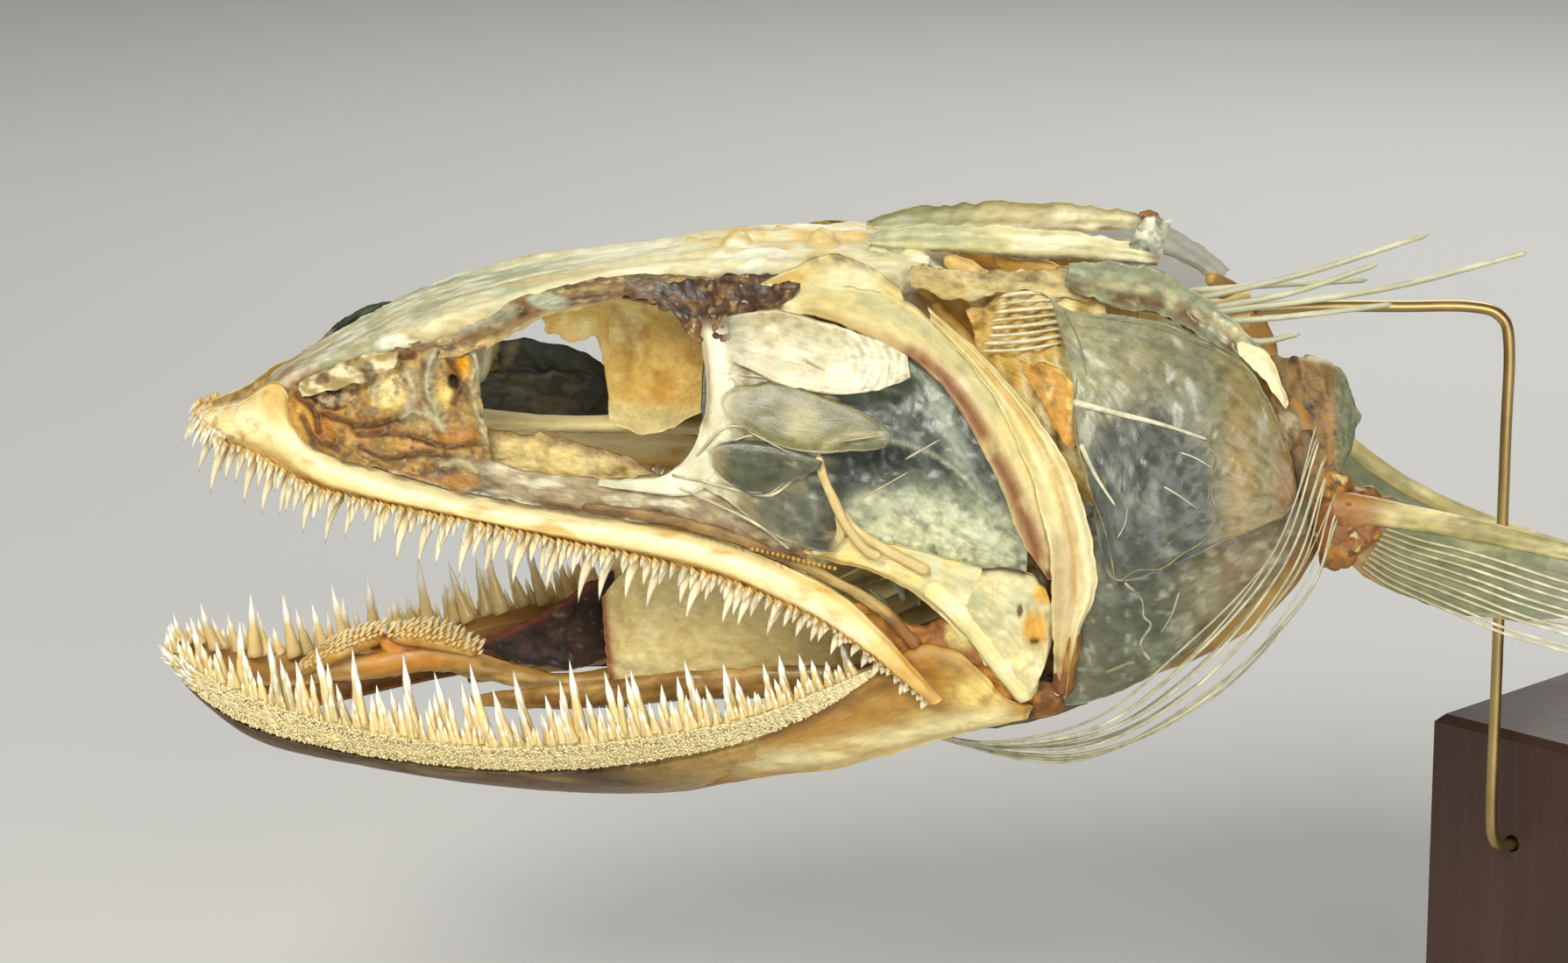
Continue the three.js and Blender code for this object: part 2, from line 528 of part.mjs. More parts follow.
function block() {
  const half = BLOCK_SIDE / 2 - BLOCK_BEVEL;
  const square = new THREE.Shape([[-half, -half], [half, -half], [half, half], [-half, half]]
    .map((p) => new THREE.Vector2(...p)));
  const body = new THREE.ExtrudeGeometry(square, {
    depth: BLOCK_HEIGHT - 2 * BLOCK_BEVEL, bevelSize: BLOCK_BEVEL,
    bevelThickness: BLOCK_BEVEL, bevelSegments: 1 });
  body.translate(0, 0, BLOCK_TOP_Z - BLOCK_HEIGHT + BLOCK_BEVEL);
  body.rotateZ(Math.PI / 4);
  body.translate(BLOCK_X, BLOCK_Y, 0);
  const hole = rod([
    [WIRE_X - 1, -1, WIRE_END_Z], [WIRE_X + 2, 2, WIRE_END_Z],
    [WIRE_X + 5, 5, WIRE_END_Z]], WIRE_RADIUS + GAP, 2, 8);
  return cut(bare(body), hole);
}
add('stand_block', block(), finish(0x35271f, 0.6));

// The whole stands on the middle of the block's underside.
head.position.set(-BLOCK_X, -BLOCK_Y, BLOCK_HEIGHT - BLOCK_TOP_Z);
const model = new THREE.Group();
model.add(head);
model.updateMatrixWorld(true);

export default model;
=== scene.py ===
"""Dry head skeleton of a lizardfish on its wire and block: fine bones, teeth and materials.

Shapes are drawn in the head's own frame in millimetres: X runs back from the tip of the lower
jaw, Y = 0 is the plane between the two sides, the left side is at -Y, and Z points up.
Most bones are sheets on the cheek, drawn as an upper and a lower edge of [x, z] points. Each
has a colouring of its own: a base colour, then stains as (colour, strength, where).
"""

import math

import bpy
import numpy as np
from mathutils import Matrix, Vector


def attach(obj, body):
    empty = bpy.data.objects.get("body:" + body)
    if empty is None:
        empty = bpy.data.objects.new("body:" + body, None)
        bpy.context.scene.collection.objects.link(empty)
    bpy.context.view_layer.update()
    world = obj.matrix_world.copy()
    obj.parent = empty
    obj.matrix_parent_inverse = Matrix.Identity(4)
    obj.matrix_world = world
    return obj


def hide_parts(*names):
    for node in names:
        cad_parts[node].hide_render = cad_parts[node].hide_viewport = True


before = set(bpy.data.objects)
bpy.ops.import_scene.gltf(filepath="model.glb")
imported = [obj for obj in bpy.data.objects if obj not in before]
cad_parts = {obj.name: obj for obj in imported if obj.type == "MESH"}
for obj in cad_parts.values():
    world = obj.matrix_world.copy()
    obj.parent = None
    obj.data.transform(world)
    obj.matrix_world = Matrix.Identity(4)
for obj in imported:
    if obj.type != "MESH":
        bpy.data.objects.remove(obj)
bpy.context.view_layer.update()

MM = .001
HEAD_ORIGIN = np.array([-143.727, -8.5, 57.3])  # in the row frame, in millimetres
JAW_JOINT_X = 73.0

# ------------------------------------------------------------------ camera, floor, lights

PHOTO_WIDTH = 1789
FOCAL_LENGTH = 5333.33  # in the photo's pixels
SENSOR = 36

camera = bpy.data.objects.new("camera", bpy.data.cameras.new("camera"))
camera.location = (-.09014, -.39662, .15407)
camera.rotation_euler = (math.radians(76), 0, 0)
camera.data.sensor_width = SENSOR
camera.data.lens = FOCAL_LENGTH / PHOTO_WIDTH * SENSOR
camera.data.clip_start = .01
bpy.context.scene.collection.objects.link(camera)
bpy.context.scene.camera = camera
bpy.context.scene.view_settings.view_transform = "Standard"


def nodes_of(material):
    """A new material's node tree and its shader."""
    material.use_nodes = True
    tree = material.node_tree
    shader = next(n for n in tree.nodes if n.type == "BSDF_PRINCIPLED")
    return tree, shader


def add_node(tree, kind, inputs=(), **settings):
    """A new node, with each input given as a value or as another node's output."""
    node = tree.nodes.new(kind)
    for key, value in settings.items():
        setattr(node, key, value)
    for key, value in dict(inputs).items():
        if isinstance(value, bpy.types.NodeSocket):
            tree.links.new(value, node.inputs[key])
        else:
            node.inputs[key].default_value = value
    return node


def mix_colours(tree, kind, factor, a, b):
    """The output of a node that mixes two colours by a factor."""
    node = add_node(tree, "ShaderNodeMix", data_type="RGBA", blend_type=kind)
    for socket, value in ((0, factor), (6, a), (7, b)):
        if isinstance(value, bpy.types.NodeSocket):
            tree.links.new(value, node.inputs[socket])
        else:
            node.inputs[socket].default_value = value
    return node.outputs[2]


def colour(code):
    """Linear red, green and blue of a 0xRRGGBB colour."""
    c = np.array([code >> 16 & 255, code >> 8 & 255, code & 255]) / 255
    return np.where(c <= .04045, c / 12.92, ((c + .055) / 1.055) ** 2.4)


def area_light(name, place, target, size, power, tint):
    """A soft square lamp that faces its target."""
    data = bpy.data.lights.new(name, "AREA")
    data.energy, data.size, data.color = power, size, tint
    light = bpy.data.objects.new(name, data)
    light.location = place
    light.rotation_euler = (Vector(target) - Vector(place)).to_track_quat("-Z", "Y").to_euler()
    bpy.context.scene.collection.objects.link(light)


HEAD_MIDDLE = (-.085, 0, .055)
area_light("key", (-.32, -.5, .5), HEAD_MIDDLE, .28, 4.3, (1, .965, .9))
area_light("fill", (.12, -.62, .16), HEAD_MIDDLE, .4, 2.5, (1, .98, .95))
area_light("rim", (.1, .5, .5), HEAD_MIDDLE, .4, 2.4, (1, .98, .95))

world = bpy.data.worlds.new("studio")
world.use_nodes = True
backdrop = next(n for n in world.node_tree.nodes if n.type == "BACKGROUND")
backdrop.inputs[0].default_value = (.86, .88, .9, 1)
backdrop.inputs[1].default_value = .2
bpy.context.scene.world = world

floor_mesh = bpy.data.meshes.new("floor")
REACH = 4  # metres from the middle of the floor to its sides
floor_corners = [(-REACH, -REACH, 0), (REACH, -REACH, 0), (REACH, REACH, 0), (-REACH, REACH, 0)]
floor_mesh.from_pydata(floor_corners, [], [(0, 1, 2, 3)])
floor = bpy.data.objects.new("floor", floor_mesh)
bpy.context.scene.collection.objects.link(floor)


def floor_material():
    """A plain pale floor."""
    material = bpy.data.materials.new("floor")
    tree, shader = nodes_of(material)
    speckle = add_node(tree, "ShaderNodeTexNoise", {"Scale": 60.0, "Detail": 3.0})
    tint = mix_colours(tree, "MIX", speckle.outputs[0], (.60, .60, .58, 1),
                       (.64, .64, .62, 1))
    tree.links.new(tint, shader.inputs["Base Color"])
    shader.inputs["Roughness"].default_value = .85
    return material


floor_mesh.materials.append(floor_material())

# ------------------------------------------------------------------ numbers along shapes


def smooth(low, high, x):
    """From 0 at low to 1 at high, with soft ends."""
    t = np.clip((x - low) / (high - low), 0, 1)
    return t * t * (3 - 2 * t)


def noise(p, seed=0):
    """Smooth noise from -1 to 1 at points given in cells."""
    p = np.asarray(p, float)
    cell = np.floor(p).astype(np.int64)
    part = p - cell
    part = part * part * (3 - 2 * part)
    total = 0.0
    for corner in range(8):
        step = np.array([corner & 1, corner >> 1 & 1, corner >> 2 & 1])
        c = cell + step
        h = (c[..., 0] * 374761393 + c[..., 1] * 668265263 + c[..., 2] * 2246822519
             + seed * 3266489917) & 0xFFFFFFFF
        h = ((h ^ (h >> 13)) * 1274126177) & 0xFFFFFFFF
        value = ((h ^ (h >> 16)) & 0xFFFF) / 32767.5 - 1
        total = total + np.prod(np.where(step, part, 1 - part), axis=-1) * value
    return total


def rough_noise(p, scale, seed=0, octaves=3):
    """Noise with finer noise added to it, from about -1 to 1."""
    p = np.asarray(p, float) * scale
    return sum(noise(p * 2 ** i, seed + 31 * i) / 2 ** i for i in range(octaves)) / 1.75


def lumps(x, z, scale, seed):
    """Rough noise over a sheet, at each point's place along and up."""
    return rough_noise(np.dstack([x, z * 0, z]), scale, seed)


def curve(points, t):
    """A smooth curve through points, at places from 0 to 1."""
    p = np.asarray(points, float)
    s = np.clip(np.asarray(t, float), 0, 1) * (len(p) - 1)
    i = np.minimum(s.astype(int), len(p) - 2)
    w = (s - i)[..., None]
    p = np.vstack([2 * p[0] - p[1], p, 2 * p[-1] - p[-2]])
    a, b, c, d = p[i], p[i + 1], p[i + 2], p[i + 3]
    return .5 * (2 * b + (c - a) * w + (2 * a - 5 * b + 4 * c - d) * w ** 2
                  + (3 * b - a - 3 * c + d) * w ** 3)


def cheek(x, z):
    """Half width of the head at a place along it and a height."""
    x = np.asarray(x, float)
    back = (x - 88) / 15
    widest = np.where(x < JAW_JOINT_X, 23 * np.sqrt(np.clip(x, 0, None) / JAW_JOINT_X),
                      24 - back ** 2)
    crown = np.where(z > -3, 27 * (1 - .5 * np.exp(-np.clip(x, 0, None) / 22)), 27)
    rise = np.minimum(np.abs((z + 3) / crown), .99)
    return widest * (1 - rise ** 2.2) ** (1 / 2.2)


# ------------------------------------------------------------------ shapes


class Shape:
    """Points, faces (a triangle ends in -1), a colour with opacity and a grain coordinate."""

    def __init__(self, points, faces, tint=None, grain=None):
        self.points = np.asarray(points, float).reshape(-1, 3)
        self.faces = np.asarray(faces, int).reshape(-1, 4)
        count = len(self.points)
        self.tint = np.ones((count, 4)) if tint is None else tint
        self.grain = self.points * (.12, 1, 1) if grain is None else grain

    def mirrored(self):
        """The same shape on the other side of the head, with its faces still outwards."""
        flip = self.faces[:, ::-1].copy()
        three = self.faces[:, 3] < 0
        flip[three] = self.faces[three][:, [2, 1, 0, 3]]
        return Shape(self.points * (1, -1, 1), flip, self.tint, self.grain)


def merge(shapes):
    """One shape of many."""
    first, faces = 0, []
    for s in shapes:
        faces.append(np.where(s.faces >= 0, s.faces + first, -1))
        first += len(s.points)
    return Shape(*(np.vstack(x) for x in (
        [s.points for s in shapes], faces, [s.tint for s in shapes], [s.grain for s in shapes])))


def grid_faces(rows, columns, closed=False, flip=False, first=0):
    """The squares of a grid of points, joined round at its ends if it is closed."""
    i, j = np.meshgrid(np.arange(rows - 1), np.arange(columns - (not closed)), indexing="ij")
    k = (j + 1) % columns
    f = np.stack([i * columns + j, (i + 1) * columns + j, (i + 1) * columns + k,
                  i * columns + k], -1).reshape(-1, 4) + first
    return f[:, ::-1] if flip else f


# ------------------------------------------------------------------ colours over shapes

WARMTH = np.array([1.03, 1.0, .8])  # the photo's own yellow cast, in every bone and skin
WHITE, GOLD, ORANGE, RUST = 0xE4E0CC, 0xC99A45, 0xB4701F, 0x7E3B17
BROWN, DARK = 0x5E4027, 0x35241A


def paint(p, base, stains=(), opacity=1.0):
    """Colours of points: a base, then stains of (colour, strength, where), where from 0 to 1."""
    out = np.tile(colour(base), (len(p), 1))
    for code, strength, where in stains:
        share = (strength * np.clip(where(p), 0, 1))[:, None]
        out = out * (1 - share) + colour(code) * share
    clear = opacity(p) if callable(opacity) else np.full(len(p), opacity)
    return np.column_stack([np.clip(out * WARMTH, 0, 1), clear])


def cloud(scale, low, high, seed=0):
    """Soft blotches: where rough noise lies between low and high."""
    return lambda p: smooth(low, high, rough_noise(p, np.array(scale), seed, 4))


def spot(x, z, rx, rz=None):
    """A patch that fades out from its middle."""
    return lambda p: np.exp(-((p[:, 0] - x) / rx) ** 2 - ((p[:, 2] - z) / (rz or rx)) ** 2)


def disc(x, z, rx, rz, edge=.25):
    """A patch with a clear rim."""
    return lambda p: smooth(1 + edge, 1 - edge, np.hypot((p[:, 0] - x) / rx, (p[:, 2] - z) / rz)
                            + .12 * rough_noise(p, .8, 17))


def near_line(points, width):
    """A soft stripe along a curve through [x, z] points."""
    line = curve(points, np.linspace(0, 1, 12 * len(points)))

    def where(p):
        d = np.full(len(p), 1e9)
        for q in line:
            d = np.minimum(d, (p[:, 0] - q[0]) ** 2 + (p[:, 2] - q[1]) ** 2)
        return np.exp(-d / width ** 2)
    return where


def ramp(axis, low, high):
    """From 0 to 1 along X (0) or Z (2)."""
    return lambda p: smooth(low, high, p[:, axis])


def times(*where):
    """Where all of these are."""
    return lambda p: np.prod([w(p) for w in where], axis=0)


def any_of(lines, width):
    """Near any of these lines."""
    return lambda p: np.max([near_line(line, width)(p) for line in lines], axis=0)


def painter(base, *stains, opacity=1.0):
    """A colouring for the points of a shape."""
    return lambda p: paint(p, base, stains, opacity)


def plain(p):
    """White, for shapes that are painted later."""
    return np.ones((len(p), 4))


# ------------------------------------------------------------------ bones, skins and teeth


EDGE_NOISE = .9  # cells of noise to a millimetre along a sheet's edges


def plate(top, bottom, tints, out=0.0, thick=.3, side=cheek, step=.4, relief=None, rag=.2,
          bumps=.08, seed=0, thin_edge=.35, stretch=.35):
    """A sheet on the cheek between an upper and a lower edge of [x, z] points.

    "out" is how far it stands out from "side", "step" the spacing of its points, "rag" how
    ragged its edges are, and "relief" a height over it. All are in millimetres.
    """
    along = np.linspace(0, 1, 60)
    length = np.linalg.norm(np.diff(curve(top, along), axis=0), axis=1).sum()
    tall = np.linalg.norm(curve(top, along) - curve(bottom, along), axis=1).max()
    nu, nv = max(int(length / step), 8) + 1, max(int(tall / step), 4) + 1
    u, v = np.meshgrid(np.linspace(0, 1, nu), np.linspace(0, 1, nv), indexing="ij")
    low, high = curve(bottom, u), curve(top, u)
    flat = low + (high - low) * v[..., None]
    rise = high - low
    rise = rise / (np.linalg.norm(rise, axis=-1, keepdims=True) + 1e-6)

    # ragged edges
    probe = np.dstack([flat, np.full_like(u, seed * 3.7)])
    ends = np.maximum(smooth(.12, 0, u), smooth(.88, 1, u))
    edges = smooth(.25, 0, v) + smooth(.75, 1, v)
    flat = flat + rise * (rough_noise(probe, EDGE_NOISE, seed) * rag * edges)[..., None]
    flat[..., 0] += rough_noise(probe, EDGE_NOISE, seed + 5) * rag * ends
    x, z = flat[..., 0], flat[..., 1]

    # relief of the outer face
    lift = (out(u) if callable(out) else out) + bumps * lumps(x, z, .7, seed + 9)
    if relief is not None:
        lift = lift + relief(x, z, u, v)

    # thickness, less towards the rim
    full = thick(u) if callable(thick) else thick
    rim = np.minimum(np.minimum(v, 1 - v) * tall, np.minimum(u, 1 - u) * length)
    depth = full * (thin_edge + (1 - thin_edge) * smooth(0, np.maximum(.8, full), rim))
    inset = (full - depth) / 2

    # the two faces and the rim that joins them
    width = side(x, z)
    outer = np.dstack([x, -(width + lift - inset), z])
    inner = np.dstack([x, -(width + lift - inset - depth), z])
    points = np.vstack([outer.reshape(-1, 3), inner.reshape(-1, 3)])
    n = nu * nv
    faces = [grid_faces(nu, nv, flip=True), grid_faces(nu, nv, first=n)]
    for ring in (np.arange(nu) * nv, (np.arange(nu) * nv + nv - 1)[::-1],
                 np.arange(nv)[::-1], (nu - 1) * nv + np.arange(nv)):
        a, b = ring[:-1], ring[1:]
        faces.append(np.stack([a, b, b + n, a + n], -1)[:, ::-1])
    grain = np.dstack([u * length * stretch, v * tall, u * 0 + seed]).reshape(-1, 3)
    return Shape(points, np.vstack(faces), tints(points), np.vstack([grain, grain]))


def bar(rows, tints, sides=14, step=.5, square=1.0, across=(0, 1, 0), bumps=.08, seed=0,
        blunt=True):
    """A bone along a curve. Each row is [x, y, z, half height, half width].

    "square" below 1 makes its section boxy, and "across" is the direction of its width.
    """
    rows = np.asarray(rows, float)
    length = np.linalg.norm(np.diff(rows[:, :3], axis=0), axis=1).sum()
    n = max(int(length / step), 5)
    t = .5 - .5 * np.cos(np.linspace(0, np.pi, n + 1)) if blunt else np.linspace(0, 1, n + 1)
    t = .5 * t + .5 * np.linspace(0, 1, n + 1)
    path, half = curve(rows[:, :3], t), curve(rows[:, 3:5], t)
    if blunt:
        near_end = np.clip(np.minimum(t, 1 - t) * length / half.mean(1), .02, 1)
        half = half * np.sqrt(near_end * (2 - near_end))[:, None]
    tangent = np.gradient(path, axis=0)
    tangent /= np.linalg.norm(tangent, axis=1, keepdims=True)
    high = np.cross(np.array(across, float), tangent)
    high /= np.linalg.norm(high, axis=1, keepdims=True)
    wide = np.cross(high, tangent)
    angle = np.linspace(0, 2 * np.pi, sides, endpoint=False)
    up, over = np.cos(angle), np.sin(angle)
    local_high = half[:, :1] * (np.sign(up) * np.abs(up) ** square)
    local_wide = half[:, 1:] * (np.sign(over) * np.abs(over) ** square)
    ring = high[:, None] * local_high[..., None] + wide[:, None] * local_wide[..., None]
    body = path[:, None] + ring
    uneven = 1 + bumps * rough_noise(body, .8, seed)
    body = path[:, None] + ring * uneven[..., None]
    points = np.vstack([body.reshape(-1, 3), path[:1], path[-1:]])
    count = (n + 1) * sides
    faces = [grid_faces(n + 1, sides, closed=True)]
    j = np.arange(sides)
    k = (j + 1) % sides
    start, end = np.full(sides, count), np.full(sides, count + 1)
    none = np.full(sides, -1)
    faces.append(np.stack([start, j, k, none], -1))
    faces.append(np.stack([end, n * sides + k, n * sides + j, none], -1))
    grain = np.dstack([np.broadcast_to((t * length * .15)[:, None], local_high.shape),
                       local_high, local_wide]).reshape(-1, 3)
    grain = np.vstack([grain, [[0, 0, 0], [length * .15, 0, 0]]])
    return Shape(points, np.vstack(faces), tints(points), grain)


def on_cheek(x, z, lift):
    """A place on the left cheek."""
    return [x, -(float(cheek(x, z)) + lift), z]


def ridge(points, radius, tints, lift=.3, sides=9, bumps=.25, seed=0, flat=1.0):
    """A raised line laid on the cheek through [x, z] points."""
    line = curve(points, np.linspace(0, 1, 4 * len(points)))
    rows = [[*on_cheek(x, z, lift), radius, radius * flat] for x, z in line]
    return bar(rows, tints, sides=sides, step=max(radius, .25), bumps=bumps, seed=seed)


def rod(points, radius, tints, sides=8, step=.8, seed=0, thin=1.0):
    """A ray or stick. "thin" is its radius at the far end as a share of that at the root."""
    t = np.linspace(1, thin, len(points))
    rows = [[*p, radius * s, radius * s] for p, s in zip(points, t)]
    return bar(rows, tints, sides=sides, step=step, bumps=.03, seed=seed)


def teeth(roots, leans, lengths, radii, base, tip, bend=.22, sides=8, rings=7, arrow=0.0,
          fade=(0.0, .6)):
    """Curved pointed teeth. "bend" is how far each curls back towards upright."""
    bend = np.broadcast_to(bend, len(lengths))
    roots, leans = np.asarray(roots, float), np.asarray(leans, float)
    leans = leans / np.linalg.norm(leans, axis=1, keepdims=True)
    upright = np.zeros_like(leans)
    upright[:, 2] = np.sign(leans[:, 2])
    curl = upright - leans * (upright * leans).sum(1, keepdims=True)
    sideways = np.cross(leans, (0, 1, 0))
    sideways /= np.linalg.norm(sideways, axis=1, keepdims=True)
    other = np.cross(leans, sideways)
    s = np.linspace(0, 1, rings + 1)[:-1]
    angle = np.linspace(0, 2 * np.pi, sides, endpoint=False)
    lengths, radii = np.asarray(lengths), np.asarray(radii)
    middle_line = (roots[:, None] + leans[:, None] * (lengths[:, None, None] * s[:, None])
                   + curl[:, None] * (lengths * bend)[:, None, None] * (2 * s ** 2)[:, None])
    # wide at the root, pointed at the tip, and with "arrow" a barb near the tip
    profile = (1 - s ** 1.7) * (1 + .25 * np.exp(-(s / .12) ** 2))
    barb, waist = np.exp(-((s - .68) / .09) ** 2), np.exp(-((s - .5) / .1) ** 2)
    profile = profile * (1 + arrow * (barb - waist))
    ring = (sideways[:, None, None] * np.cos(angle)[:, None]
            + other[:, None, None] * np.sin(angle)[:, None] * .85)
    body = (middle_line[:, :, None] + ring * (radii[:, None, None, None]
                                              * profile[:, None, None]))
    points_tip = roots + leans * lengths[:, None] + curl * (lengths * bend * 2)[:, None]

    # the faces of one tooth, then of all
    count, per = len(roots), rings * sides
    faces_one = [grid_faces(rings, sides, closed=True)]
    j = np.arange(sides)
    k = (j + 1) % sides
    none = np.full(sides, -1)
    last = (rings - 1) * sides
    faces_one.append(np.stack([np.full(sides, per), last + k, last + j, none], -1))
    faces_one.append(np.stack([np.full(sides, per + 1), j, k, none], -1))
    faces_one = np.vstack(faces_one)
    points = np.concatenate([body.reshape(count, per, 3), points_tip[:, None],
                             roots[:, None]], 1)
    first = (np.arange(count) * (per + 2))[:, None, None]
    faces = np.where(faces_one >= 0, faces_one + first, -1)

    # from the base's colour to the tip's, a little lighter or darker from tooth to tooth
    share = np.concatenate([np.repeat(s, sides), [1, 0]])
    white = smooth(*fade, share)[:, None]
    one = colour(base) * (1 - white) + colour(tip) * white
    tint = np.tile(np.column_stack([one, np.ones(per + 2)]), (count, 1))
    vary = 1 + .12 * np.repeat(np.sin(roots[:, 0] * 7.3 + roots[:, 2] * 3.1), per + 2)
    tint[:, :3] *= vary[:, None]
    return Shape(points.reshape(-1, 3), faces.reshape(-1, 4), tint)


# ------------------------------------------------------------------ materials


def surface(name, fibre=2.0, streaks=.35, specks=.2, rough=(.35, .6), bump=.06,
            scatter=0.0, opacity=False, gloss=.5):
    """A material whose colour is the piece's own tint, with fibres, specks and fine relief."""
    material = bpy.data.materials.new(name)
    tree, shader = nodes_of(material)
    tint = add_node(tree, "ShaderNodeAttribute", attribute_name="tint")
    grain = add_node(tree, "ShaderNodeAttribute", attribute_name="grain")
    place = add_node(tree, "ShaderNodeTexCoord").outputs["Object"]
    fibres = add_node(tree, "ShaderNodeTexNoise", {
        "Vector": grain.outputs["Vector"], "Scale": fibre, "Detail": 5.0, "Roughness": .62})
    fine = add_node(tree, "ShaderNodeTexNoise", {
        "Vector": place, "Scale": 900.0, "Detail": 4.0, "Roughness": .6})
    streak = add_node(tree, "ShaderNodeMapRange", {
        "Value": fibres.outputs[0], "From Min": .3, "From Max": .7,
        "To Min": 1 - streaks, "To Max": 1 + .4 * streaks})
    speck = add_node(tree, "ShaderNodeMapRange", {
        "Value": fine.outputs[0], "From Min": .32, "From Max": .55,
        "To Min": 1 - specks, "To Max": 1.0})
    shade = add_node(tree, "ShaderNodeMath", {0: streak.outputs[0], 1: speck.outputs[0]},
                     operation="MULTIPLY")
    shaded = add_node(tree, "ShaderNodeVectorMath", {0: tint.outputs["Color"],
                                                     "Scale": shade.outputs[0]},
                      operation="SCALE")
    tree.links.new(shaded.outputs[0], shader.inputs["Base Color"])
    dull = add_node(tree, "ShaderNodeMapRange", {
        "Value": fine.outputs[0], "From Min": .3, "From Max": .7,
        "To Min": rough[0], "To Max": rough[1]})
    tree.links.new(dull.outputs[0], shader.inputs["Roughness"])
    height = add_node(tree, "ShaderNodeMath", {0: fibres.outputs[0], 1: fine.outputs[0]},
                      operation="ADD")
    relief = add_node(tree, "ShaderNodeBump", {
        "Strength": .7, "Distance": bump * MM, "Height": height.outputs[0]})
    tree.links.new(relief.outputs[0], shader.inputs["Normal"])
    shader.inputs["Specular IOR Level"].default_value = gloss
    if scatter:
        shader.inputs["Subsurface Weight"].default_value = scatter
        shader.inputs["Subsurface Radius"].default_value = (1, .6, .3)
        shader.inputs["Subsurface Scale"].default_value = .0012
    if opacity:
        tree.links.new(tint.outputs["Alpha"], shader.inputs["Alpha"])
    return material


MATERIALS = {
    "pale_bone": surface("pale_bone", streaks=.2, specks=.12, scatter=.15),
    "ivory_bone": surface("ivory_bone", streaks=.13, specks=.08, rough=(.3, .5),
                          scatter=.18),
    "amber_bone": surface("amber_bone", streaks=.22, specks=.14, scatter=.15),
    "glassy_bone": surface("glassy_bone", fibre=1.6, streaks=.3, specks=.3,
                           rough=(.2, .4), bump=.05, opacity=True),
    "dried_tissue": surface("dried_tissue", fibre=2.2, streaks=.35, specks=.3,
                            rough=(.3, .6), bump=.2, opacity=True),
    "fin_rays": surface("fin_rays", fibre=1.6, streaks=.35, rough=(.3, .5), bump=.05,
                        opacity=True),
}
TOOTH_ENAMEL = surface("tooth_enamel", streaks=.1, specks=.06, rough=(.18, .3),
                         bump=.01, scatter=.25, gloss=.6)


def piece(name, shapes, slot, replaces=(), material=None):
    """A piece of the visual model, which may stand for nodes of the CAD."""
    shape = merge(shapes) if isinstance(shapes, list) else shapes
    mesh = bpy.data.meshes.new(name)
    count = (shape.faces >= 0).sum(1)
    corners = shape.faces[shape.faces >= 0]
    mesh.vertices.add(len(shape.points))
    mesh.vertices.foreach_set("co", ((shape.points + HEAD_ORIGIN) * MM).ravel())
    mesh.loops.add(len(corners))
    mesh.loops.foreach_set("vertex_index", corners)
    mesh.polygons.add(len(count))
    mesh.polygons.foreach_set("loop_start", np.concatenate([[0], np.cumsum(count)[:-1]]))
    mesh.update(calc_edges=True)
    mesh.validate()
    mesh.attributes.new("tint", "FLOAT_COLOR", "POINT").data.foreach_set(
        "color", np.clip(shape.tint, 0, 1).ravel())
    mesh.attributes.new("grain", "FLOAT_VECTOR", "POINT").data.foreach_set(
        "vector", shape.grain.astype(float).ravel())
    mesh.polygons.foreach_set("use_smooth", np.ones(len(mesh.polygons), bool))
    mesh.materials.append(material or MATERIALS[slot])
    obj = bpy.data.objects.new(name, mesh)
    bpy.context.scene.collection.objects.link(obj)
    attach(obj, "root")
    if replaces:
        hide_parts(*replaces)
    return obj


def both(name, left, right, slot, node=None, material=None):
    """A left and a right piece, which may stand for a left and a right node."""
    for side, made in (("left", left), ("right", right)):
        piece(f"{name}_{side}", made, slot, [f"{node}_{side}"] if node else [], material)


def pair(name, shapes, slot, node=None, material=None):
    """The same piece on both sides of the head."""
    shape = merge(shapes) if isinstance(shapes, list) else shapes
    both(name, shape, shape.mirrored(), slot, node, material)


def shaded(shape, light, clear=1.0):
    """The same shape in a darker colour, as painted shade, and clearer."""
    tint = shape.tint * (light, light, light, clear)
    return Shape(shape.points, shape.faces, tint, shape.grain)


# ------------------------------------------------------------------ skull


def remeshed(shape, voxel):
    """One closed skin around shapes that cross each other."""
    mesh = bpy.data.meshes.new("rough")
    faces = [[c for c in f if c >= 0] for f in shape.faces.tolist()]
    mesh.from_pydata((shape.points * MM).tolist(), [], faces)
    obj = bpy.data.objects.new("rough", mesh)
    bpy.context.scene.collection.objects.link(obj)
    modifier = obj.modifiers.new("skin", "REMESH")
    modifier.mode = "VOXEL"
    modifier.voxel_size = voxel * MM
    skin = obj.evaluated_get(bpy.context.evaluated_depsgraph_get()).to_mesh()
    points = np.zeros(len(skin.vertices) * 3)
    normals = np.zeros_like(points)
    skin.vertices.foreach_get("co", points)
    skin.vertices.foreach_get("normal", normals)
    corners = np.zeros(len(skin.loops), int)
    skin.loops.foreach_get("vertex_index", corners)
    faces = corners.reshape(-1, 4)
    points = points.reshape(-1, 3) / MM
    bpy.data.objects.remove(obj)
    return points, normals.reshape(-1, 3), faces


# The skull's roof: place along, height, half height and half width.
ROOF = np.array(
    [[9.5, 8.3, .8, 3.2], [14, 10.4, 1.0, 5.2], [20, 13.2, 1.2, 7.8], [26, 15.3, 1.4, 9],
     [32, 17, 1.2, 6.8], [39, 18.4, 1.1, 5.2], [46, 19.2, 1.2, 5.8], [53, 19.6, 1.4, 7.8],
     [60, 19.2, 1.6, 9.8], [67, 18.6, 1.5, 8.6]])

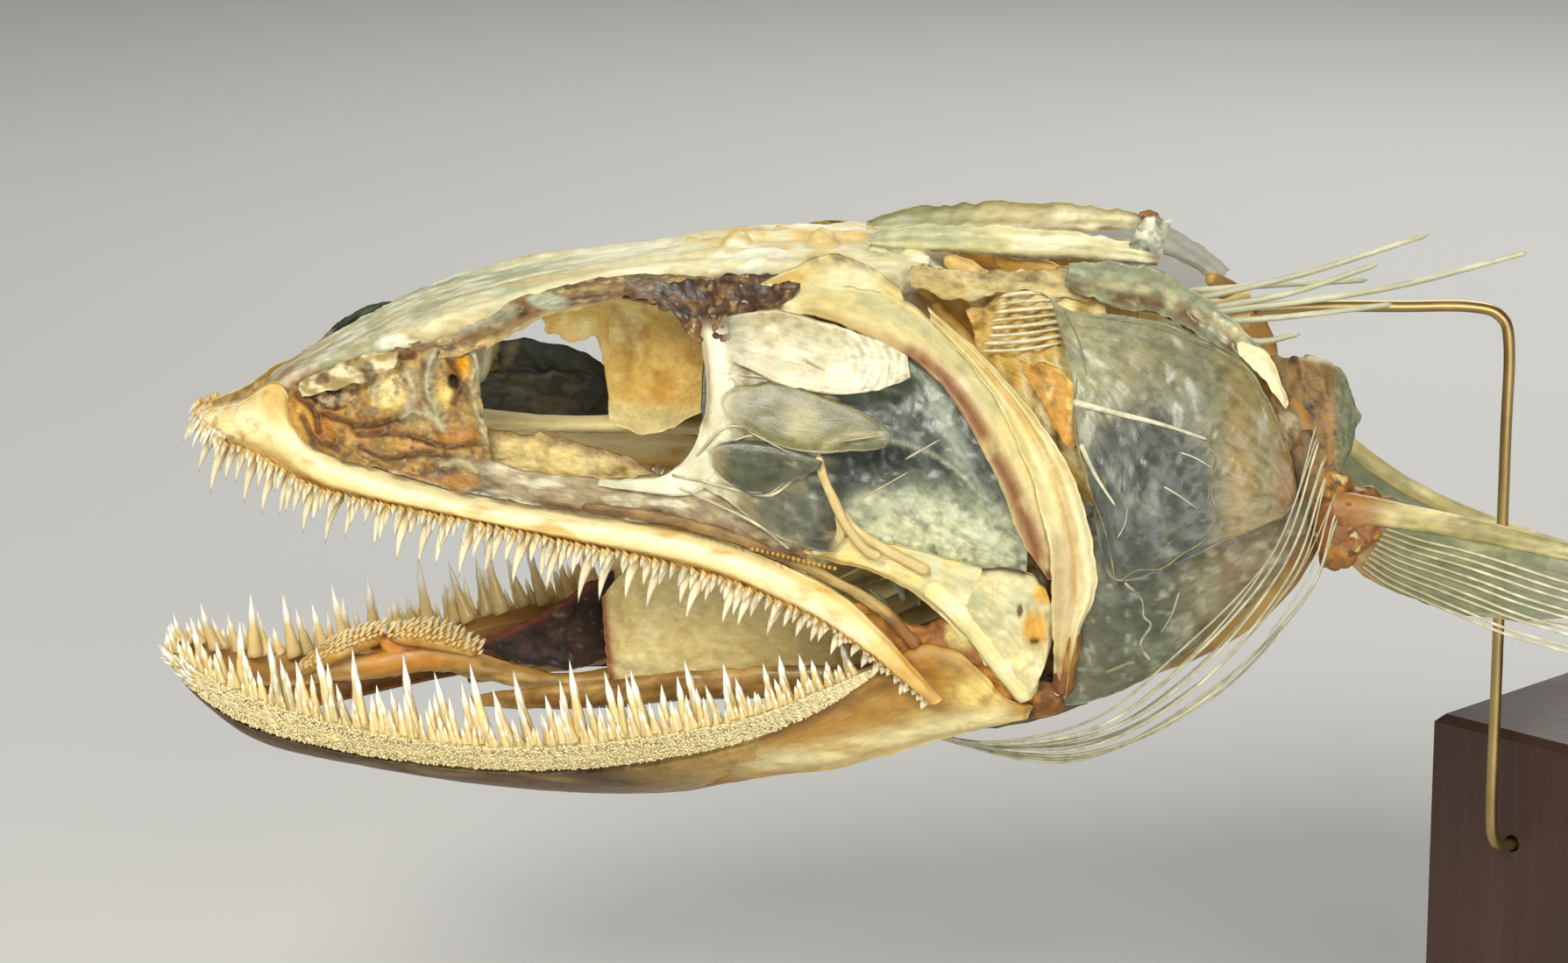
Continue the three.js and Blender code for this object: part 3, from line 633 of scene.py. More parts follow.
roof_tint = painter(
    0xD6D2B6,
    (0x98A795, .85, times(ramp(0, 42, 30), cloud((.08, .6, .6), -.35, .4, 3))),
    (0xF0F2EC, .9, cloud((.08, 1.0, 1.0), -.1, .35, 4)),
    (0xB9975A, .5, cloud((.1, 1.2, 1.2), .18, .5, 5)),
    (0xF2F0E6, .9, times(spot(42.5, 18.6, 5, 1.7), cloud((.2, .7, .7), -.5, .2, 14))),
    (0xCF9A38, .8, times(ramp(2, 17.4, 15.8), ramp(0, 34, 38))),
    (0xD9B45C, .7, times(ramp(2, 20.6, 21.4), cloud(.6, -.4, .3, 15))),
    (BROWN, .75, times(ramp(2, 12, 9.5), ramp(0, 27, 23), cloud(.5, -.3, .3, 6))),
    (ORANGE, .6, spot(13, 8, 3)),
    (0xD8CBA0, 1.0, times(ramp(2, 8.6, 7.4), ramp(0, 27, 29), ramp(0, 62, 54))),
    (BROWN, .8, times(spot(52, 17.6, 3, 2), cloud(.8, -.5, .2, 8))),
)


# Ridges of the roof: start and end along, share of the half width at each, and radius.
ROOF_LINES = (
    (12, 34, .9, .93, .4), (15, 44, .7, .8, .3), (13, 40, .45, .75, .26),
    (22, 48, .3, .62, .24), (30, 58, .88, .9, .36), (38, 62, .6, .72, .28),
    (18, 36, .15, .3, .22), (44, 66, .35, .5, .3), (34, 46, .97, .6, .3))


def roof_lines():
    """Long low ridges that sweep back over the skull's roof."""
    lines = []
    for start, end, first, last, radius in ROOF_LINES:
        x, share = np.linspace(start, end, 9), np.linspace(first, last, 9)
        z, rise, half = (np.interp(x, ROOF[:, 0], ROOF[:, i]) for i in (1, 2, 3))
        top = z + rise * (1 - share ** 3.33) ** .3
        rows = np.column_stack([x, -share * half, top, np.full_like(x, radius),
                                np.full_like(x, radius * 1.3)])
        made = bar(rows, plain, sides=10, step=.5, bumps=.15)
        lines += [made, made.mirrored()]
    return lines


KNOBS = (
    (49.6, -1.5, 21, .9), (56.8, -2.4, 21.3, 1.1), (53.4, 2, 21, .8),
    (61.5, -3, 21, .8), (46, .6, 20.5, .7), (64.6, -3.6, 20.8, .9))


def knob(x, y, z, r):
    """A small lump on the skull's roof."""
    rows = [[x - r, y, z - .4, r * .8, r], [x, y, z + .2, r, r], [x + r, y, z - .4, r * .8, r]]
    return bar(rows, plain, sides=12, step=.3)


def neurocranium():
    """The braincase with its roof, snout and palate, as one skin with rough bone on it."""
    fine = dict(sides=28, step=.5)
    roof = bar(np.insert(ROOF, 1, 0, axis=1), plain, square=.6, **fine)
    snout = bar([
        [10.5, 0, 7.6, .7, 3], [14, 0, 8.6, 1.9, 4.4], [18, 0, 9.4, 3.2, 5.6],
        [23, 0, 10.4, 4.4, 6.2], [27.5, 0, 11.6, 4.6, 4.6]], plain, square=.8, **fine)
    palate = bar([
        [16, 0, 6.6, 1.6, 3.4], [22, 0, 5.8, 1.5, 3], [29, 0, 5.3, .9, 1.7],
        [38, 0, 5.1, .7, 1.3], [47, 0, 5.4, 1.1, 2.1], [56, 0, 6.4, 1.8, 3.4],
        [65, 0, 8.2, 2, 4]], plain, **fine)
    braincase = bar([
        [41, 0, 13.6, 4.4, 1.1], [44, 0, 13, 5.8, 2.6], [48, 0, 12.8, 6.5, 4.6],
        [54, 0, 13, 6.6, 7.2], [61, 0, 13.2, 6, 8], [68, 0, 13.6, 4.6, 5.2]],
        plain, square=.8, **fine)
    wing = bar([
        [25.5, 0, 11, 1.4, 4.4], [26.6, -5.5, 10.8, 1, 4.1], [28, -10.2, 9.8, .7, 3.2]],
        plain, across=(0, 0, 1), **fine)
    brow = bar([
        [50, 0, 16, 2.2, 2.6], [51.5, -6, 16.4, 2, 2.2], [53, -10.2, 16.4, 1.4, 1.4]],
        plain, across=(0, 0, 1), **fine)
    keel = bar([
        [12, -3.2, 10, .5, .5], [20, -5.4, 13.9, .6, .5], [30, -5.2, 17.6, .7, .6],
        [40, -3.6, 19.4, .7, .6], [50, -4.4, 20.5, .8, .6], [60, -7, 20.3, .8, .6],
        [67, -7.2, 19.6, .6, .5]], plain, sides=12, step=.5)
    crest = bar([
        [44, 0, 20, .5, .6], [52, 0, 20.9, .9, .7], [60, 0, 20.9, .9, .7],
        [68, 0, 19.8, .7, .6]], plain, sides=12, step=.5)
    knobs = [knob(*row) for row in KNOBS]
    shapes = [roof, snout, palate, braincase, wing, wing.mirrored(), brow, brow.mirrored(),
              keel, keel.mirrored(), crest, *knobs, *roof_lines()]
    points, normals, faces = remeshed(merge(shapes), .34)
    stretched = points * (.14, 1, 1)
    lines = rough_noise(stretched, 1.5, 11)
    swellings = rough_noise(points, .35, 12)
    pits = rough_noise(points, 1.1, 13)
    top = smooth(12, 16, points[:, 2])
    ethmoid = smooth(29, 24, points[:, 0])
    rear = smooth(42, 50, points[:, 0])
    points = points + normals * (.12 * lines * (.4 + top) + .16 * swellings * (.6 + rear)
                                 + .12 * pits * (.2 + ethmoid + rear))[:, None]
    return Shape(points, faces, roof_tint(points))


piece("neurocranium", neurocranium(), "pale_bone", ["neurocranium"])


def wall_side(x, z):
    """Half width of the thin amber wall before the braincase, seen through the eye socket."""
    half = np.interp(x, [33, 38.5, 42, 47, 54], [.5, 1.2, 2.9, 5, 7.6])
    return half + (np.interp(x, [33, 40, 50], [5.4, 5.2, 7]) - half) * smooth(13.2, 17.5, z) ** 2


wall_tint = painter(
    0xE4C070,
    (0xF6E5B0, .9, cloud(.3, -.15, .35, 21)),
    (0xC07E22, .5, cloud(.5, .15, .5, 22)),
    (0xF2DC9A, .8, times(ramp(2, 14.6, 16.4), cloud(.5, -.6, .2, 18))),
    (0xEBD9A6, .95, ramp(2, 8.4, 6.4)),
    (0xC08A34, .6, spot(42.6, 8.6, 1.5, 1.2)),
    (0xB5803A, .6, near_line([[39.2, 16], [40.6, 13], [40.2, 9]], .6)))


def wall_relief(x, z, u, v):
    """The wall's gentle waves."""
    return .35 * lumps(x, z, .55, 19)


pair("orbit_wall", plate(
    [[33.2, 16.6], [35.4, 17.2], [37.4, 17.6], [38.6, 17.8], [39.4, 18]],
    [[33.4, 13.4], [35.6, 12.4], [37.6, 12.6], [38.4, 9.6], [39, 5.6]], wall_tint, side=wall_side,
    thick=.35, step=.25, rag=.8, seed=3, relief=wall_relief, stretch=.9), "amber_bone")
pair("orbit_wall_rear", plate(
    [[38.8, 17.8], [42, 17.9], [46, 18.2], [50, 18.4]],
    [[38.6, 5.2], [41.6, 4.8], [44, 5.5], [46, 6.8], [50, 8.6]], wall_tint, side=wall_side,
    thick=.35, step=.25, rag=.3, bumps=.3, seed=4, relief=wall_relief, stretch=.9), "amber_bone")


def nasal(tints, rise):
    """The small bone over the nostril."""
    return plate(
        [[13.2, 10.5], [15.4, 11.8 + rise], [18.2, 12.9 + rise], [21.6, 13.7]],
        [[13.4, 9.4], [15.8, 10.1], [18.6, 11], [21.4, 12.3]],
        tints, out=lambda u: .45 + .8 * u, thick=.6, step=.15, rag=.35, bumps=.5, seed=2,
        stretch=.6)


nasal_left_tint = painter(
    0xA38E62,
    (0xE2DABC, .9, cloud((.7, 1.2, 1.2), .0, .35, 2)),
    (0x4E3821, .8, cloud(.9, .05, .4, 5)))
piece("nasal_left", nasal(nasal_left_tint, 0),
    "pale_bone", ["nasal_left"])

nasal_right_tint = painter(0x59625F, (0xB9BEB4, .8, cloud((.5, 1, 1), .0, .4, 2)))
piece("nasal_right", nasal(nasal_right_tint, .9).mirrored(), "pale_bone", ["nasal_right"])

# ------------------------------------------------------------------ dried skin of eye and nose

BROW_X = [9.5, 14, 20, 26, 32, 39, 46, 53, 60]
BROW_HALF = [3.2, 6, 8.3, 9, 6.8, 5.2, 5.8, 7.8, 9.8]


def past_brow(x, z, gap, most):
    """How far the cheek's surface stands out past the edge of the skull's roof."""
    return np.clip(cheek(x, z) - np.interp(x, BROW_X, BROW_HALF) - gap, 0, most)


def swell(x, z, rx, rz, height):
    """A round swelling, as a height over the sheet."""
    def over(a, b):
        within = 1 - ((a - x) / rx) ** 2 - ((b - z) / rz) ** 2
        return height * np.clip(within, 0, None) ** .5
    return over


def crease(points, width, height):
    """A fold along a line of [x, z] points, as a height over the sheet."""
    where = near_line(points, width)

    def over(a, b):
        places = np.column_stack([a.ravel(), a.ravel(), b.ravel()])
        return height * where(places).reshape(a.shape)
    return over


STRUT = [[24.8, 14], [24.1, 12.2], [24.1, 10.4], [24.9, 8.7]]
RIM_STRUT = [[28.4, 13.2], [27.8, 11.6], [27.9, 10], [28.6, 8.2], [29.4, 6.4], [30.4, 4.7]]
NOSE_FOLDS = ([[15.4, 8], [18.4, 7.3], [21.4, 8.1], [23.2, 9.1]],
              [[18.2, 6.6], [22, 6.9], [25.4, 6.1], [28.6, 6.6]],
              [[18.4, 5.6], [20.6, 4.8], [23.4, 5.4], [27.8, 5.1]],
              [[14.8, 10.7], [17.4, 11.7], [20, 12.5], [22.8, 13.1]],
              [[25.8, 13], [26.8, 11.6], [26.2, 9.6]], [[13.4, 7.6], [14.4, 6], [16.4, 5.2]],
              [[13, 9.2], [14.4, 8.2], [14.8, 6.6]])
GREY_FOLDS = ([[21.9, 8.2], [23.4, 8.7], [25.2, 7.7]],
              [[14.3, 9.9], [15.4, 9], [16.8, 9.8], [17.8, 9.2]],
              [[19.4, 9.1], [19.8, 11.4], [21.2, 12.4]], [[25.2, 4.5], [27, 4.9], [28.2, 4.2]],
              [[22.2, 11.9], [22.9, 10.4], [22.4, 9]])
nose_relief = [swell(20.5, 10.4, 2, 1.8, .35), swell(25.6, 10.1, 1, 1.2, .3),
               swell(15.9, 9.4, 1.7, 1.1, .5), swell(27, 12.3, .6, .8, .3),
               swell(26.2, 11.1, .5, .6, -.9), crease(STRUT, .5, .9), crease(RIM_STRUT, .42, .7),
               *(crease(line, .26, .45) for line in NOSE_FOLDS),
               *(crease(line, .42, .5) for line in GREY_FOLDS)]

nose_skin_tint = painter(
    0xB08F52,
    (0x7E5A30, .9, cloud(.8, -.1, .35, 23)),
    (0xB87A2A, .95, disc(14.2, 7.6, 2.3, 2.2, .6)),
    (0xD8A850, .9, disc(13.2, 7.2, 1.1, 1.5, .6)),
    (0xB27A2C, .8, times(spot(18, 6.8, 3, 1), cloud(.9, -.4, .3, 26))),
    (0xDDBE6E, .95, disc(20.6, 10.4, 2.1, 1.8)),
    (0xF6E6AE, .9, disc(20.9, 10.3, 1, 1.2, .6)),
    (0xD2AE62, .95, disc(25.6, 10.1, 1, 1.3)),
    (0xECD38C, .8, disc(25.9, 10.3, .5, .7, .6)),
    (0xF0AA14, .95, disc(27, 12.3, .65, .85)),
    # Painted shade: near-black inside the small pit, for the dark inside of the hole.
    (0x1E1510, .95, disc(26.2, 11.1, .45, .55)),
    (0xB8802E, .8, disc(26.4, 6.9, 1.9, .8)),
    (0xC99A52, .8, disc(22.6, 6, 1.2, .5)),
    (0x5B3A1C, .95, any_of(NOSE_FOLDS, .3)),
    (0xBDB49C, .9, times(any_of(GREY_FOLDS, .5), cloud(1.3, -.6, .1, 25))),
    (0xB7B49C, .95, times(near_line(STRUT, .6), cloud(.8, -.9, -.1, 7))),
    (0xB9AE8A, .9, near_line(RIM_STRUT, .45)),
    (0x3A2617, .9, times(disc(15.9, 9.6, 2, 1.2), cloud(1.4, -.1, .25, 24))),
    (DARK, .6, cloud(1.4, .2, .5, 24)))
pair("nose_skin", plate(
    [[12.4, 10.2], [16, 11.6], [19, 12.8], [22, 13.6], [25, 14], [27.9, 13.2]],
    [[12, 7.2], [14, 5.2], [17, 4.2], [21, 3.8], [25, 3.6], [29.8, 3.4]],
    nose_skin_tint,
    out=-.6, thick=.5, step=.13, rag=.35, bumps=.5, seed=33, stretch=.7,
    relief=lambda x, z, u, v: sum(b(x, z) for b in nose_relief)
    + .2 * lumps(x, z, 1.9, 27) + .08 * lumps(x, z, 4.5, 28)), "dried_tissue")

orbit_rim_tint = painter(
    0x83643C,
    (0xC2A874, .8, cloud((.35, .9, .9), .05, .4, 34)),
    (DARK, .8, cloud((.5, 1.1, 1.1), .1, .45, 35)),
    (0xDCCB96, .7, cloud(1.6, .3, .5, 33)),
    (0xB9BFB4, .95, disc(34, 17.4, 1.7, .5)),
    (0xA7A89A, .8, near_line([[24, 14.6], [28, 15.6], [31, 16.6]], .5)),
    (0xC8B78C, .6, near_line([[29.6, 14.4], [33, 16.2], [37, 17.2], [42, 17.8]], .35)))
pair("orbit_rim", plate(
    [[22.4, 13.8], [26, 15.2], [30, 16.9], [34, 18.1], [38, 18.9], [42, 19.2], [46, 19.2],
     [48, 19.2]],
    [[23.6, 12.5], [26.5, 13.2], [29.6, 14.2], [32.8, 16], [36, 17], [40, 17.7], [44, 17.4],
     [46.4, 16]], orbit_rim_tint, out=-.2, thick=.5, step=.16, rag=.35, bumps=.35, seed=34,
    stretch=.4,
    relief=lambda x, z, u, v: -past_brow(x, z, .2, 9) * v ** 1.5
    + .2 * lumps(x * .6, z, 2.2, 28)), "dried_tissue")

brow_skin_tint = painter(
    0x4A3119,
    (0x8A6638, .8, cloud(.8, 0, .4, 36)),
    (0x23170E, .8, cloud(.9, .05, .4, 37)),
    (0xB89A66, .7, cloud(1.6, .25, .5, 32)),
    # Painted highlights: sparse white specks as glints on the crust.
    (0xE4DFD0, .9, cloud(3.4, .5, .62, 38)),
    (0x7A5A32, .8, ramp(0, 44, 41)))
pair("brow_skin", plate(
    [[40, 19], [43.6, 19], [47, 19.4], [50, 19.8], [55, 19.8]],
    [[40, 18.2], [43.4, 17.8], [46.9, 15.1], [49.6, 16], [54.6, 18.8]],
    brow_skin_tint,
    out=.75, thick=.8, step=.13, rag=.6, bumps=.7, seed=35, stretch=.6,
    relief=lambda x, z, u, v: .45 * lumps(x, z, 1.3, 29)
    - past_brow(x, z, 1, 5) * .5 * smooth(.6, 1, v)
    - .8 * v), "dried_tissue")

lachrymal_tint = painter(
    0x6F553B,
    (0xA48E70, .8, cloud((.5, 1, 1), 0, .4, 39)),
    (0xC6BFAE, .8, cloud((.7, 1.4, 1.4), .2, .45, 40)),
    (DARK, .8, cloud((.5, 1.2, 1.2), .15, .45, 41)),
    (0xA87832, .8, disc(27, 3.3, 1.7, .55)),
    (0xB98845, .6, near_line([[17, 5.6], [22, 3.8], [27, 2.6]], .4)))
pair("lachrymal", plate(
    [[16.4, 6.9], [20, 6.3], [24, 5.6], [28, 5], [32, 3.6]],
    [[16.2, 5.6], [20, 4], [24, 2.9], [28, 2.3], [32, 1.8]],
    lachrymal_tint,
    out=-.5, thick=.6, step=.18, rag=.4, bumps=.5, seed=36,
    relief=lambda x, z, u, v: .22 * lumps(x * .5, z, 2, 30)), "dried_tissue", "lachrymal")

orbit_floor_tint = painter(
    0xA39478,
    (0xD8D3C2, .9, cloud((.3, 1.1, 1.1), .0, .4, 42)),
    (0x7C6547, .8, cloud((.2, 1.3, 1.3), .1, .5, 43)),
    (0x6B4526, .95, times(near_line([[33, 1.9], [38, 1.5], [44, 1.1], [50, .2], [55, -1.6]], .55),
        cloud((.4, .8, .8), -.6, .1, 44))),
    (0xE4E0D2, .9, disc(44.2, 2.5, 1.8, .35)),
    (0x6E5335, .6, times(ramp(0, 48, 51), cloud((.2, 1.4, 1.4), -.2, .3, 45))),
    opacity=lambda p: smooth(28, 30, p[:, 0] + .9 * rough_noise(p, .9, 40)))
orbit_floor = plate(
    [[28.4, 5.6], [31, 4.8], [34, 4.4], [38, 4.2], [42, 4.5], [45, 4.9], [48, 4.2], [51, 2.4],
     [53.6, .6], [55.4, -.7]],
    [[28, 2.5], [31, 2.0], [34, 1.6], [38, 1.2], [42, .8], [45, .4], [48, -.1], [50.6, -.9],
     [53, -1.5], [55.4, -2]], orbit_floor_tint, out=-.2, thick=.5, step=.2, rag=.25, bumps=.4,
    seed=37, relief=lambda x, z, u, v: .16 * lumps(x * .3, z, 2.4, 31))
piece("orbit_floor_left", orbit_floor, "dried_tissue")
# The right floor, seen through the eye socket, is the left one darkened as painted shade and made
# clearer.
piece("orbit_floor_right", shaded(orbit_floor, .35, .6).mirrored(), "dried_tissue")

bead_tint = painter(0xD0A048, (0xA06C20, .6, cloud(2, 0, .4, 46)))


def bead(x, z):
    """One of the row of beads behind the floor of the eye socket."""
    y = -float(cheek(x, z))
    rows = [[x - .16, y - .35, z, .16, .16], [x, y - .4, z, .2, .2],
            [x + .16, y - .35, z, .16, .16]]
    return bar(rows, bead_tint, sides=8, step=.12)


beads = [bead(51 + .42 * i, -.75 - .085 * i) for i in range(17)]
pair("bead_strip", beads, "dried_tissue")

# ------------------------------------------------------------------ jaws

UPPER_BITE = [[3.6, 6.2], [6, 4.6], [10, 3.6], [15, 1.5], [25, .1], [35, -1.3],
              [45, -2.9], [52, -4.9], [58, -7.4], [65.6, -13.4]]
UPPER_BACK = [[4.6, 6.8], [7.6, 7.8], [11.2, 9.6], [14.4, 5.2], [24, 2.5], [34, 1.2],
              [44, .5], [52, -1.7], [59.2, -5], [66.6, -12.9]]
LOWER_BITE = [[.5, -14.3], [4, -15.6], [10, -17.6], [20, -19.5], [30, -20],
              [40, -18.6], [50, -16], [56, -13.2], [61, -10.6]]
LOWER_KEEL = [[1, -16], [4, -18.8], [9.5, -22], [19, -23.5], [29, -24.7],
              [38, -25.1], [45, -24.4], [49, -23], [52, -21.8]]
BAND_EDGE = [[.5, -15], [3, -17.4], [7, -19.6], [12, -20.9], [20, -22], [30, -22.4],
             [38, -21.6], [46, -19.7], [52, -17.4], [57, -14.5], [61, -11.2]]


def passing(u):
    """Where the upper jaw passes over the lower one, near the joint."""
    return smooth(.72, .9, u)


def upper_side(x, z):
    """Half width over the upper jaw, whose tip lies 3 mm behind that of the lower jaw."""
    return cheek(x - 3 * np.clip(1 - x / JAW_JOINT_X, 0, None), z)


def upper_out(u):
    """How far the upper jaw stands out from the cheek, so as to clear the lower one."""
    return .3 + 1.6 * passing(u)


def rounded(x, z, u, v):
    """A jaw bone's outer face: a round beam over the teeth with a thinner flange above."""
    rough_tip = .22 * lumps(x, z, 1.1, 58) * smooth(14, 9, x)
    return rough_tip - .75 * np.abs(2 * v - .9) ** 2.5 * (1 - .5 * passing(u))


upper_body_tint = painter(
    0xE8D296,
    # Painted highlight: a near-white stripe along the upper crest of the jaw's round beam.
    (0xF7EFD4, .95, near_line(
        [[8, 7], [12, 5.6], [15, 3.8], [24, 1.7], [34, .5], [44, -.8], [52, -3], [60, -7.5]],
        .8)),
    (0xCF9C40, .7, cloud((.25, .9, .9), .08, .5, 31)),
    (0xC98A2E, .4, spot(11.4, 8.4, 1.3)),
    (0xF3E8C6, .85, times(ramp(0, 10.8, 7.4), cloud((.7, 1, 1), -.5, .25, 33))),
    (0x9A6428, .6, times(ramp(0, 12, 8), cloud((.9, 1.2, 1.2), .2, .5, 34))),
    (0xD0A256, .8, near_line(UPPER_BITE, .45)),
    (0xC79A4A, .7, ramp(0, 60, 66)),
    (0x6B4518, .7, times(near_line([[24, 2.7], [34, 1.3], [44, .5], [54, -2.4]], .22),
        cloud((.5, 1, 1), -.3, .2, 16))))
upper_body = plate(
    UPPER_BACK, UPPER_BITE,
    upper_body_tint,
    out=upper_out, thick=lambda u: 1.9 - .7 * passing(u), side=upper_side, step=.3,
    relief=rounded, rag=.12, bumps=.15, seed=31)


def tooth_bed(edge, side, spacing, seed, start, stop, out=0.0, inset=.5, drop=0.0):
    """Roots along the edge of a jaw bone, and each one's share of the way along."""
    t = np.linspace(0, 1, 400)
    line = curve(edge, t)
    run = np.concatenate([[0], np.cumsum(np.linalg.norm(np.diff(line, axis=0), axis=1))])
    count = int(run[-1] * (stop - start) / spacing)
    draw = np.random.default_rng(seed)
    want = (start + (stop - start) * (np.arange(count) + draw.uniform(-.28, .28, count))
            / max(count - 1, 1)) * run[-1]
    u = np.clip(np.interp(want, run, t), 0, 1)
    at = curve(edge, u)
    z = at[:, 1] + drop
    lift = (out(u) if callable(out) else out) - inset - draw.uniform(-.12, .12, count)
    return np.column_stack([at[:, 0], -(side(at[:, 0], z) + lift), z]), u, draw


# Rows of teeth: spacing, inset, shortest, longest, radius, seed and drop, and the tips' colour
# in the lower jaw.
UPPER_ROWS = (
    (1.9, 1.15, 3.6, 5.4, .56, 41, .1), (1.35, .75, 1.9, 3.4, .46, 42, .1),
    (.85, .4, 1.0, 2.0, .34, 43, .15), (.8, .1, .7, 1.3, .28, 44, .35))
LOWER_ROWS = (
    (3.2, 1.7, 5.8, 7.2, .6, 51, -.2, 0xFAF6E6), (1.8, 1.35, 3.8, 5.6, .52, 52, -.1, 0xF6F1DE),
    (1.2, .9, 2.4, 4.2, .46, 53, -.2, 0xF6EFD6), (1.1, .5, 1.1, 2.2, .34, 54, -.3, 0xF0E4BC),
    (1.0, .7, 1.6, 3.1, .36, 59, -.25, 0xF2E8C8), (.9, .2, .6, 1.2, .22, 55, -.6, 0xEAD9A6),
    (.9, -.05, .4, .8, .18, 56, -1.1, 0xEAD9A6))
# Small teeth that cover the tip of each jaw bone.
TIP_TEETH = {"upper": 46, "lower": 44}


def upper_teeth():
    """Rows of teeth from the longest to the shortest, and the teeth at the tip."""
    rows = []
    for spacing, inset, low, high, radius, seed, drop in UPPER_ROWS:
        roots, u, draw = tooth_bed(UPPER_BITE, upper_side, spacing, seed, .0, .985,
                                   upper_out, inset, drop)
        n = len(u)
        shape = .72 + .28 * np.sin(np.pi * np.clip(u * 1.05 + .1, 0, 1))
        length = draw.uniform(low, high, n) * shape * (1 - .72 * smooth(.76, 1, u))
        length = length * (1 - .45 * smooth(.14, 0, u))
        forward = .62 + .9 * smooth(.16, 0, u) + .45 * smooth(.55, .95, u)
        lean = np.column_stack([-forward + draw.uniform(-.12, .12, n),
                                draw.uniform(-.05, .18, n), -np.ones(n)])
        rows.append(teeth(roots, lean, length, radius * (.8 + .2 * length / high),
                          0xC8A258, 0xEBE0BC, bend=.24, fade=(.05, .5)))
    draw = np.random.default_rng(45)
    n = TIP_TEETH["upper"]
    share, back = draw.uniform(0, 1, n), draw.uniform(0, 1, n)
    x = 3.5 + 4.2 * back
    z = 5.9 + 1.5 * share * (1 - .4 * back) + .1 * back - .55 * back * (1 - share)
    y = -(upper_side(x, z) - .35 - 1.6 * share * draw.uniform(.2, 1, n))
    lean = np.column_stack([-1.3 + .3 * back, draw.uniform(-.5, .1, n), -.75 + .35 * share])
    length = draw.uniform(1.2, 2.5, n)
    radii = draw.uniform(.26, .36, n)
    rows.append(teeth(np.column_stack([x, y, z]), lean, length, radii, 0xD8B26A, 0xF3EACB,
                      bend=.3))
    return rows


def lower_teeth():
    """As the upper teeth, straighter, with arrow-shaped ends."""
    rows = []
    for spacing, inset, low, high, radius, seed, drop, tip in LOWER_ROWS:
        roots, u, draw = tooth_bed(LOWER_BITE, cheek, spacing, seed, .01, .97, .2, inset, drop)
        n = len(u)
        shape = (.34 + .66 * smooth(.0, .24, u)) * (1 - .6 * smooth(.6, 1, u))
        length = draw.uniform(low, high, n) * shape
        lean = np.column_stack([-.1 - .3 * u - .85 * smooth(.2, 0, u)
                                + draw.uniform(-.14, .14, n),
                                draw.uniform(.0, .16, n), np.ones(n)])
        rows.append(teeth(roots, lean, length, radius * (.75 + .25 * length / high),
                          0xE0C688, tip, bend=.08 + .25 * smooth(.2, 0, u), rings=13,
                          arrow=.16, fade=(.45, .7)))
    draw = np.random.default_rng(57)
    n = TIP_TEETH["lower"]
    share, back = draw.uniform(0, 1, n), draw.uniform(0, 1, n)
    x = .5 + 3.4 * back
    z = np.interp(x, [.5, 4], [-14.3, -15.6]) - (.4 + 1.2 * back) * share
    y = -(cheek(x, z) + .2)
    lean = np.column_stack([-1.2 + .4 * back, -.5 - .4 * share, .9 - .9 * share])
    length = draw.uniform(.7, 1.5, n)
    radii = draw.uniform(.16, .24, n)
    rows.append(teeth(np.column_stack([x, y, z]), lean, length, radii, 0xE0C688, 0xFAF6E6,
                      bend=.2, fade=(.3, .6)))
    return rows


pair("premaxilla", upper_body, "ivory_bone", "premaxilla")
pair("upper_teeth", upper_teeth(), "ivory_bone", material=TOOTH_ENAMEL)

JAW_BOW = 6.2  # millimetres


def bowed(shape):
    """The right half of the lower jaw, which dried bowed up along its middle."""
    points = shape.points.copy()
    x = points[:, 0]
    points[:, 2] += JAW_BOW * smooth(5, 33, x) * (1 - smooth(37, 58, x))
    return Shape(points, shape.faces, shape.tint, shape.grain).mirrored()


def jaw_pair(name, shape, slot, node=None, material=None):
    """A piece of the lower jaw on both sides, the right one bowed."""
    both(name, shape, bowed(shape), slot, node, material)


def inside(p):
    """The inner face of the lower jaw."""
    return smooth(-.5, -1.1, np.abs(p[:, 1]) - cheek(p[:, 0], p[:, 2]))


lower_tint = painter(
    0x5F4626,
    (0x96804E, .75, cloud((.1, .4, .8), .0, .5, 61)),
    (0x2C2013, .8, cloud((.07, .4, .9), .1, .5, 62)),
    (0x2A1C10, .8,
     near_line([[7, -19.9], [12, -21.2], [20, -22.3], [30, -22.7], [38, -21.9], [46, -20]], .35)),
    (0xB8995A, .9, ramp(0, 37, 51)),
    (0x8A5A26, .8, inside), opacity=.97)

dentary_tint = painter(
    0xE8D79C,
    (0xF4EBC4, .7, cloud(1.2, -.1, .5, 63)),
    (0xC8A860, .5, cloud(.8, .15, .6, 64)),
    (0x5A3A1C, .9, disc(1.7, -15.3, 1.3, .8, .4)),
    (0x9A6A2C, .9, inside))
jaw_pair("dentary", plate(
    LOWER_BITE, BAND_EDGE, dentary_tint,
    out=.35, thick=1.9, step=.3, rag=.15, bumps=.15, seed=7), "ivory_bone", "dentary")
jaw_pair("jaw_keel", plate(
    BAND_EDGE[:9], LOWER_KEEL, lower_tint, out=.1, thick=1.5, step=.3, rag=.1, bumps=.1, seed=6,
    relief=lambda x, z, u, v: -1.0 * (1 - v) ** 3), "glassy_bone")
jaw_pair("lower_teeth", merge(lower_teeth()), "ivory_bone", material=TOOTH_ENAMEL)

BUD_COUNT = 7600


